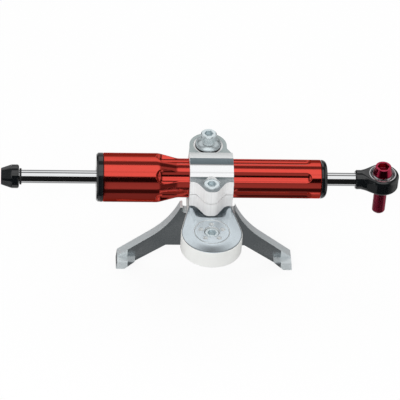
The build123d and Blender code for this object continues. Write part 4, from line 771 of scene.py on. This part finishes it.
class DAMPER_OT_arm(bpy.types.Operator):
    """Arm with its domed top, rounded rim and the hollow under the clamp's nose"""
    bl_idname = "damper.arm"
    bl_label = "Arm"

    def execute(self, context):
        a = settings("arm")
        low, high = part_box("pivot_arm")
        radius = (high.x - low.x) / 2 - SHARP
        disc = size("pivot_cap").x / 2 + DISC_GAP
        rear = high.y
        taper, step, pocket = (AXIS.y - v for v in (a.taper_from, a.step_from, a.pocket_front))

        # outline in plan, from the right rear corner round the front to the left rear corner
        corner = Vector((a.neck_half, taper)) - PIVOT.xy
        start = math.atan2(corner.y, corner.x) - math.acos(radius / corner.length)
        sweep = math.pi + 2 * start
        curve = round_points(PIVOT.xy, radius,
                             (start - sweep * k / FRONT_STEPS for k in range(FRONT_STEPS + 1)))
        breaks = {rear, step + SHARP, step - SHARP, pocket + SHARP, pocket - SHARP, taper}
        along = sorted(breaks | set(np.arange(taper, rear, a.grain).tolist()), reverse=True)
        right = [Vector((a.neck_half, y)) for y in along]
        parts = round((curve[0] - right[-1]).length / (radius * sweep / FRONT_STEPS))
        side = right + [right[-1].lerp(curve[0], k / parts) for k in range(1, parts)]
        open_line = side + curve + [Vector((-p.x, p.y)) for p in reversed(side)]
        half = a.pocket_half
        outline = open_line + [Vector((x, rear)) for x in (-half - SHARP, -half + SHARP, -REAR_POINT,
                                                           REAR_POINT, half - SHARP, half + SHARP)]

        def inward(points):
            """Distance of each point from the sides and front of the outline."""
            best = np.full(len(points), np.inf)
            ends = np.array([tuple(p) for p in open_line])
            for one, two in zip(ends[:-1], ends[1:]):
                run = two - one
                share = np.clip(((points - one) @ run) / max(run @ run, 1e-18), 0, 1)
                best = np.minimum(best, np.linalg.norm(points - one - share[:, None] * run, axis=1))
            return best

        def top(points):
            edge = inward(points)
            x, y = np.abs(points[:, 0]), points[:, 1] - AXIS.y
            slope = np.clip(a.roll_width - edge, 0, None)
            fall = a.slope * (np.sqrt(slope ** 2 + a.roll_soft ** 2) - a.roll_soft)
            over = np.clip(1 - edge / a.rim, 0, 1)
            fall = fall + a.rim * (1 - np.sqrt(1 - over ** 2))
            ramp = np.clip((y + a.basin_front) / a.basin_run, 0, 1)
            width = np.clip((a.basin_half - x) / (0.5 * a.basin_half), 0, 1)
            smooth = [v * v * (3 - 2 * v) for v in (ramp, width)]
            height = high.z - fall - a.basin_depth * smooth[0] * smooth[1]
            around = np.clip(a.relief ** 2 - y ** 2, 0, None)
            height = np.minimum(height, AXIS.z - np.sqrt(around))
            height[(x < half) & (y > -a.pocket_front)] = high.z - a.pocket_depth
            bore = np.linalg.norm(points - np.array(PIVOT.xy), axis=1) - disc
            return height - DISC_EDGE * np.clip(1 - bore / DISC_EDGE_WIDTH, 0, 1) ** 2

        def bottom(points):
            return np.where(points[:, 1] > step, low.z + a.step, low.z)

        rims = []
        for row in RIM_ROWS:
            for one, two, three in zip(open_line, open_line[1:], open_line[2:]):
                rims.append(two - row * MM * (three - one).orthogonal().normalized())
        discs = [p for row in DISC_ROWS for p in ring_points(PIVOT.xy, disc + row * MM)]
        grid = np.array([(x, y) for x in np.arange(-radius, radius, a.grain)
                         for y in np.arange(low.y, rear, a.grain)])
        grid = [Vector(p) for p in grid[inward(grid) > RIM_ROWS[-1] * MM + a.grain * GRID_CLEAR]]
        walls = [Vector((sign * (half + nudge), y)) for sign in (-1, 1) for nudge in (-SHARP, SHARP)
                 for y in np.arange(pocket, rear, a.grain)]
        walls += [Vector((x, pocket + nudge)) for nudge in (-SHARP, SHARP)
                  for x in np.arange(-half, half, a.grain)]

        bm = bmesh.new()
        loose = rims + discs + grid + walls
        upper = relief_sheet(bm, [outline, ring_points(PIVOT.xy, disc)], loose, top, True)
        saddle = [Vector((x, AXIS.y + y)) for x in (-SADDLE_X, SADDLE_X)
                  for y in (-SADDLE_Y, SADDLE_Y)]
        loops = [outline, ring_points(PIVOT.xy, HOLE)]
        loops += [ring_points(p, SADDLE_HEAD, SCREW_STEPS) for p in saddle]
        lower = relief_sheet(bm, loops, [p for p in walls if p.y < AXIS.y], bottom, False)
        strip(bm, upper[0], lower[0])
        seat, last = low.z + BEARING_TOP, upper[1]
        for r, z in ((disc, seat), (BEARING_RADIUS, seat), (BEARING_RADIUS, low.z + BEARING_FLOOR),
                     (HOLE, low.z + BEARING_FLOOR)):
            following = [bm.verts.new((*p, z)) for p in ring_points(PIVOT.xy, r)]
            strip(bm, following, last)
            last = following
        strip(bm, lower[1], last)
        for loop, centre in zip(lower[2:], saddle):
            deep = [bm.verts.new((*p, low.z + a.step + SADDLE_SINK))
                    for p in ring_points(centre, SADDLE_HOLE, SCREW_STEPS)]
            strip(bm, loop, deep)
            bm.faces.new(deep)
        piece = new_object("arm_finished", closed_mesh("Arm", bm, ARM_SHARP))
        settle(piece, "pivot_arm", ARM_LOOKS, lambda centre, normal: ARM_LOOKS[normal.z <= TOP_FACING])
        return {"FINISHED"}


NEAR = 0.05 * MM
PAINTED_DARK_FROM, PAINTED_DARK_TO, BAND_TO = -1.0, 17.0, 47.5  # the band's parts, degrees from its top to the front; the strip between the first two is a painted dark reflection


class DAMPER_OT_clamp(bpy.types.Operator):
    """Both clamp halves: polished band with a painted dark strip and a painted light matt rear, lug tops
    painted dark as shade, and bright machined walls
    """
    bl_idname = "damper.clamp"
    bl_label = "Clamp"

    def execute(self, context):
        edge = settings("edge").machined
        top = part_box("clamp_front_screw")[1].z
        cuts = [(AXIS, (0, math.cos(math.radians(v)), math.sin(math.radians(v))))
                for v in (PAINTED_DARK_FROM, PAINTED_DARK_TO, BAND_TO)]

        def upper(centre, normal):
            # the front lug's top is painted dark as shade; the rear tab's top gets a lighter copy
            if abs(centre.z - top) < 2 * NEAR and normal.z > 0.9:
                return "milled" if centre.y < AXIS.y else "tab_top"
            offset = Vector((0, centre.y - AXIS.y, centre.z - AXIS.z))
            if centre.z > top - NEAR and offset.normalized().dot(normal) > 0.95:
                # by angle the band gets a painted light matt rear, a painted dark strip standing in for a
                # dark reflection, and the polished band
                turn = math.degrees(math.atan2(-offset.y, offset.z))
                if turn > BAND_TO:
                    return "milled"
                return "band" if turn > PAINTED_DARK_TO else "band_painted_dark" if turn > PAINTED_DARK_FROM else "painted_light_matt"
            return "nose_wall"

        slots = ["nose_wall", "band", "milled", "tab_top", "band_painted_dark", "painted_light_matt"]
        settle(finished_copy("clamp_upper", edge, cuts=cuts), "clamp_upper", slots, upper)
        settle(finished_copy("clamp_lower", edge), "clamp_lower", slots[:1])
        return {"FINISHED"}


BRACKET_ENDS = 58.5 * MM  # front faces further out than this get the lighter copy, as painted light
HORN_DROP = 0.4 * MM


class DAMPER_OT_bracket(bpy.types.Operator):
    """Frame bracket with broken edges, darker fronts, and lighter tops, far ends and horn tops painted as
    light and shade
    """
    bl_idname = "damper.bracket"
    bl_label = "Bracket"

    def execute(self, context):
        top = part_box("frame_bracket")[1].z
        line = middle("frame_bracket").x

        # darker and lighter copies of one finish, painted as light and shade: dark fronts near the middle,
        # lighter tops and far ends, brightest horn tops
        def finish(centre, normal):
            if abs(normal.y) > 0.5 and abs(centre.x - line) > BRACKET_ENDS:
                return "lit_bracket"
            if abs(normal.y) > 0.5 or normal.z < 0.2:
                return "bracket"
            return "lit_horn_top" if centre.z > top - HORN_DROP else "lit_bracket"

        cuts = [(Vector((line + side * BRACKET_ENDS, 0, 0)), ALONG) for side in (-1, 1)]
        piece = finished_copy("frame_bracket", settings("edge").machined, cuts=cuts)
        settle(piece, "frame_bracket", ["bracket", "lit_bracket", "lit_horn_top"], finish)
        return {"FINISHED"}


FINE_RINGS, RINGS, WIDE_RINGS, LEAST_RINGS = 0.2 * MM, 0.5 * MM, 4 * MM, 0.03 * MM  # spacings of rings
FLUTE_STEPS, LAND_STEPS = 73, 9  # points across a flute and between two
BODY_SHARP = 60


def fluted_body():
    """The body as rings of points: a turned outline into which a round cutter has run."""
    b = settings("body")
    low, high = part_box("damper_body")
    large = (high.z - low.z) / 2
    reach = b.flute_radius
    left, right = low.x + b.bevel, high.x - b.bevel
    spans = [(b.flute_from - reach, b.flute_from + reach * 0.2, FINE_RINGS),
             (b.flute_from, b.slim_from + 2 * b.blend, RINGS),
             (b.large_to - 2 * b.blend, b.flute_from, RINGS),
             (b.flute_to - reach * 0.2, b.flute_to + reach, FINE_RINGS),
             (left, right, WIDE_RINGS)]
    along = np.concatenate([[low.x, left, left + FINE_RINGS, right - FINE_RINGS, right, high.x]]
                           + [np.arange(*span) for span in spans])
    along = np.unique(np.round(along, 7))
    along = along[np.concatenate([[True], np.diff(along) > LEAST_RINGS])]
    turned = np.interp(along, [b.large_to, b.slim_from], [large, b.slim_radius])
    slope = (large - b.slim_radius) / (b.slim_from - b.large_to)
    for corner, sign in ((b.large_to, -1), (b.slim_from, 1)):
        near = np.clip(1 - np.abs(along - corner) / (b.blend / 2), 0, 1)
        turned = turned + sign * slope * b.blend / 8 * near ** 2
    for end in (low.x, high.x):
        turned = turned - np.clip(b.bevel - np.abs(along - end), 0, None)
    pitch = 2 * math.pi / b.flutes
    wide = math.asin(min(1.0, reach / b.flute_circle)) * 1.08  # a little more than a flute
    share = np.concatenate([np.linspace(-wide, wide, FLUTE_STEPS),
                            np.linspace(wide, pitch - wide, LAND_STEPS)[1:-1]])
    angles = np.concatenate([math.radians(b.first) + k * pitch + share for k in range(b.flutes)])
    x, radius = along[:, None], turned[:, None]
    off = (angles[None] - math.radians(b.first) + pitch / 2) % pitch - pitch / 2
    past = np.maximum(np.maximum(b.flute_from - x, x - b.flute_to), 0)
    cutter = np.sqrt(np.clip(reach ** 2 - past ** 2, 0, None))
    side = b.flute_circle * np.sin(np.abs(off))
    deep = np.sqrt(np.clip(cutter ** 2 - side ** 2, 0, None))
    near = np.where(cutter > side, b.flute_circle * np.cos(off) - deep, np.inf)
    gap = np.clip(1 - np.abs(near - radius) / (2 * b.soft), 0, 1)
    shape = np.minimum(near, radius) - np.where(np.isfinite(near), gap ** 2 * b.soft / 2, 0)
    inner = np.full(len(angles), size("front_guide").z / 2)
    bm = bmesh.new()
    rings = [[bm.verts.new((px, AXIS.y - r * math.cos(a), AXIS.z + r * math.sin(a)))
              for r, a in zip(row, angles)]
             for px, row in zip((*along, high.x, low.x), (*shape, inner, inner))]
    for one, two in zip(rings, rings[1:] + rings[:1]):
        for k in range(len(angles)):
            after = (k + 1) % len(angles)
            bm.faces.new((one[k], one[after], two[after], two[k]))
    return new_object("damper_body_finished", closed_mesh("Body", bm, BODY_SHARP))


class DAMPER_OT_body(bpy.types.Operator):
    """Fluted damper body and its end caps"""
    bl_idname = "damper.body"
    bl_label = "Body and caps"

    def execute(self, context):
        edge = settings("edge")
        body = settle(fluted_body(), "damper_body", ["red_anodised"])
        body.visible_glossy = False
        for cap in ("reservoir_end_cap", "front_end_cap"):
            dress(cap, edge.fine)
        return {"FINISHED"}


class DAMPER_OT_screws(bpy.types.Operator):
    """Socket screws and the arm's disc"""
    bl_idname = "damper.screws"
    bl_label = "Screws and disc"

    def execute(self, context):
        edge = settings("edge").fine
        for node in ("clamp_front_screw", "clamp_rear_screw", "pivot_bolt"):
            dress(node, edge)
        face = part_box("pivot_cap")[1].z

        def disc(centre, normal):
            # below the disc's face the holes and sides are painted light in place of their shade
            return "polished" if centre.z > face - edge else "painted_light_matt"

        settle(finished_copy("pivot_cap", edge), "pivot_cap", ["polished", "painted_light_matt"], disc)
        return {"FINISHED"}


class DAMPER_OT_rod_end(bpy.types.Operator):
    """Rod end, its race, the adjuster's knob and the crimson bolt"""
    bl_idname = "damper.rod_end"
    bl_label = "Rod end and knob"

    def execute(self, context):
        edge = settings("edge")
        for node, width in (("rod_end_housing", edge.moulded), ("adjuster_knob", edge.moulded),
                            ("rod_end_race", edge.fine), ("rod_end_bolt", edge.fine)):
            dress(node, width, segments=3)
        return {"FINISHED"}


THREAD_POINTS, THREAD_ROWS = 48, 220  # points round the thread and rows along it
THREAD_PAST, THREAD_GAP = 0.05 * MM, 0.5 * MM  # it ends past the bolt's tip and below the ball


def thread_tree(inputs):
    """A cylinder whose radius follows a helix of ridges."""
    def build(t, i, o):
        tall = t.minus(i["Top"], i["Bottom"])
        core = t.add("GeometryNodeMeshCylinder", {
            "Vertices": THREAD_POINTS, "Side Segments": THREAD_ROWS, "Fill Segments": 1, "Radius": 1.0,
            "Depth": tall})
        place = t.add("GeometryNodeInputPosition").outputs[0]
        part = t.add("ShaderNodeSeparateXYZ", {0: place}).outputs
        above = t.plus(part[2], t.times(tall, 0.5))
        turn = t.math("DIVIDE", t.math("ARCTAN2", part[1], part[0]), 2 * math.pi)
        phase = t.minus(t.math("DIVIDE", above, i["Pitch"]), turn)
        ridge = t.times(t.math("PINGPONG", phase, 0.5), 2.0)
        radius = t.minus(i["Crest"], t.times(i["Depth"], ridge))
        drop = t.math("MAXIMUM", 0.0, t.minus(i["Chamfer"], above))
        radius = t.math("MINIMUM", radius, t.minus(i["Crest"], drop))
        flat = t.add("ShaderNodeCombineXYZ", {0: part[0], 1: part[1], 2: 0.0})
        spread = t.add("ShaderNodeVectorMath", {0: flat, "Scale": radius}, operation="SCALE")
        centre = t.add("ShaderNodeSeparateXYZ", {0: i["Centre"]}).outputs
        height = t.plus(above, i["Bottom"])
        lifted = t.add("ShaderNodeCombineXYZ", {0: centre[0], 1: centre[1], 2: height})
        moved = t.vector("ADD", spread.outputs[0], lifted)
        shaped = t.add("GeometryNodeSetPosition", {"Geometry": core.outputs["Mesh"],
                                                   "Position": moved})
        real = t.add("GeometryNodeRealizeInstances", {0: shaped})
        done = t.add("GeometryNodeSetMaterial", {"Geometry": real, "Material": i["Material"]})
        t.put(o["Geometry"], done)
    return node_group("Rolled thread", inputs, {"Geometry": "Geometry"}, build, "GeometryNodeTree")


class DAMPER_OT_thread(bpy.types.Operator):
    """Rolled thread on the rod end's bolt"""
    bl_idname = "damper.thread"
    bl_label = "Bolt thread"

    def execute(self, context):
        s = settings("thread")
        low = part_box("rod_end_bolt")[0].z - THREAD_PAST
        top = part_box("rod_end_ball")[0].z - THREAD_GAP
        values = {"Crest": s.crest, "Depth": s.depth, "Pitch": s.pitch, "Bottom": low, "Top": top,
                  "Chamfer": s.chamfer, "Centre": tuple(ROD_END),
                  "Material": finishes()["crimson_anodised"]}
        tree = thread_tree({**values, "Material": "Material"})
        piece = new_object("rod_end_bolt_thread", bpy.data.meshes.new("Thread"))
        nodes = piece.modifiers.new("Thread", "NODES")
        nodes.node_group = tree
        for item in tree.interface.items_tree:
            if item.in_out == "INPUT":
                nodes[item.identifier] = values[item.name]
        plain_mesh(piece)
        shade_smooth(piece.data)
        mark_edges(piece.data)
        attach(piece, BODY_OF["rod_end_bolt"])
        return {"FINISHED"}


class DAMPER_OT_finish_frame(bpy.types.Operator):
    """Finishes on every piece that keeps its own shape"""
    bl_idname = "damper.finish_frame"
    bl_label = "Frame finishes"

    def execute(self, context):
        looks = finishes()
        for name, node in NODES.items():
            node.data.materials.clear()
            node.data.materials.append(looks[SLOT_OF[name]])
        return {"FINISHED"}


class DAMPER_PT_panel(bpy.types.Panel):
    """Lists the damper's pieces"""
    bl_idname = "DAMPER_PT_panel"
    bl_label = "Steering damper"
    bl_space_type = "VIEW_3D"
    bl_region_type = "UI"
    bl_category = "Damper"

    def draw(self, context):
        for operator in OPERATORS:
            self.layout.operator(operator.bl_idname)


SETTINGS = {"studio": StudioSettings, "finish": FinishSettings, "edge": EdgeSettings, "arm": ArmSettings,
            "body": BodySettings, "thread": ThreadSettings}
OPERATORS = (DAMPER_OT_stage, DAMPER_OT_finish_frame, DAMPER_OT_arm, DAMPER_OT_clamp, DAMPER_OT_bracket,
             DAMPER_OT_body, DAMPER_OT_screws, DAMPER_OT_rod_end, DAMPER_OT_thread)
CLASSES = (*SETTINGS.values(), *OPERATORS, DAMPER_PT_panel)


def register():
    for item in CLASSES:
        bpy.utils.register_class(item)
    for name, group in SETTINGS.items():
        setattr(bpy.types.Scene, "damper_" + name, bpy.props.PointerProperty(type=group))


def unregister():
    for name in SETTINGS:
        delattr(bpy.types.Scene, "damper_" + name)
    for item in reversed(CLASSES):
        bpy.utils.unregister_class(item)


def main():
    register()
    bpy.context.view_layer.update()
    bpy.ops.damper.stage()
    bpy.ops.damper.finish_frame()
    bpy.ops.damper.arm()
    bpy.ops.damper.clamp()
    bpy.ops.damper.bracket()
    bpy.ops.damper.body()
    bpy.ops.damper.screws()
    bpy.ops.damper.rod_end()
    bpy.ops.damper.thread()


if __name__ == "__main__":
    main()
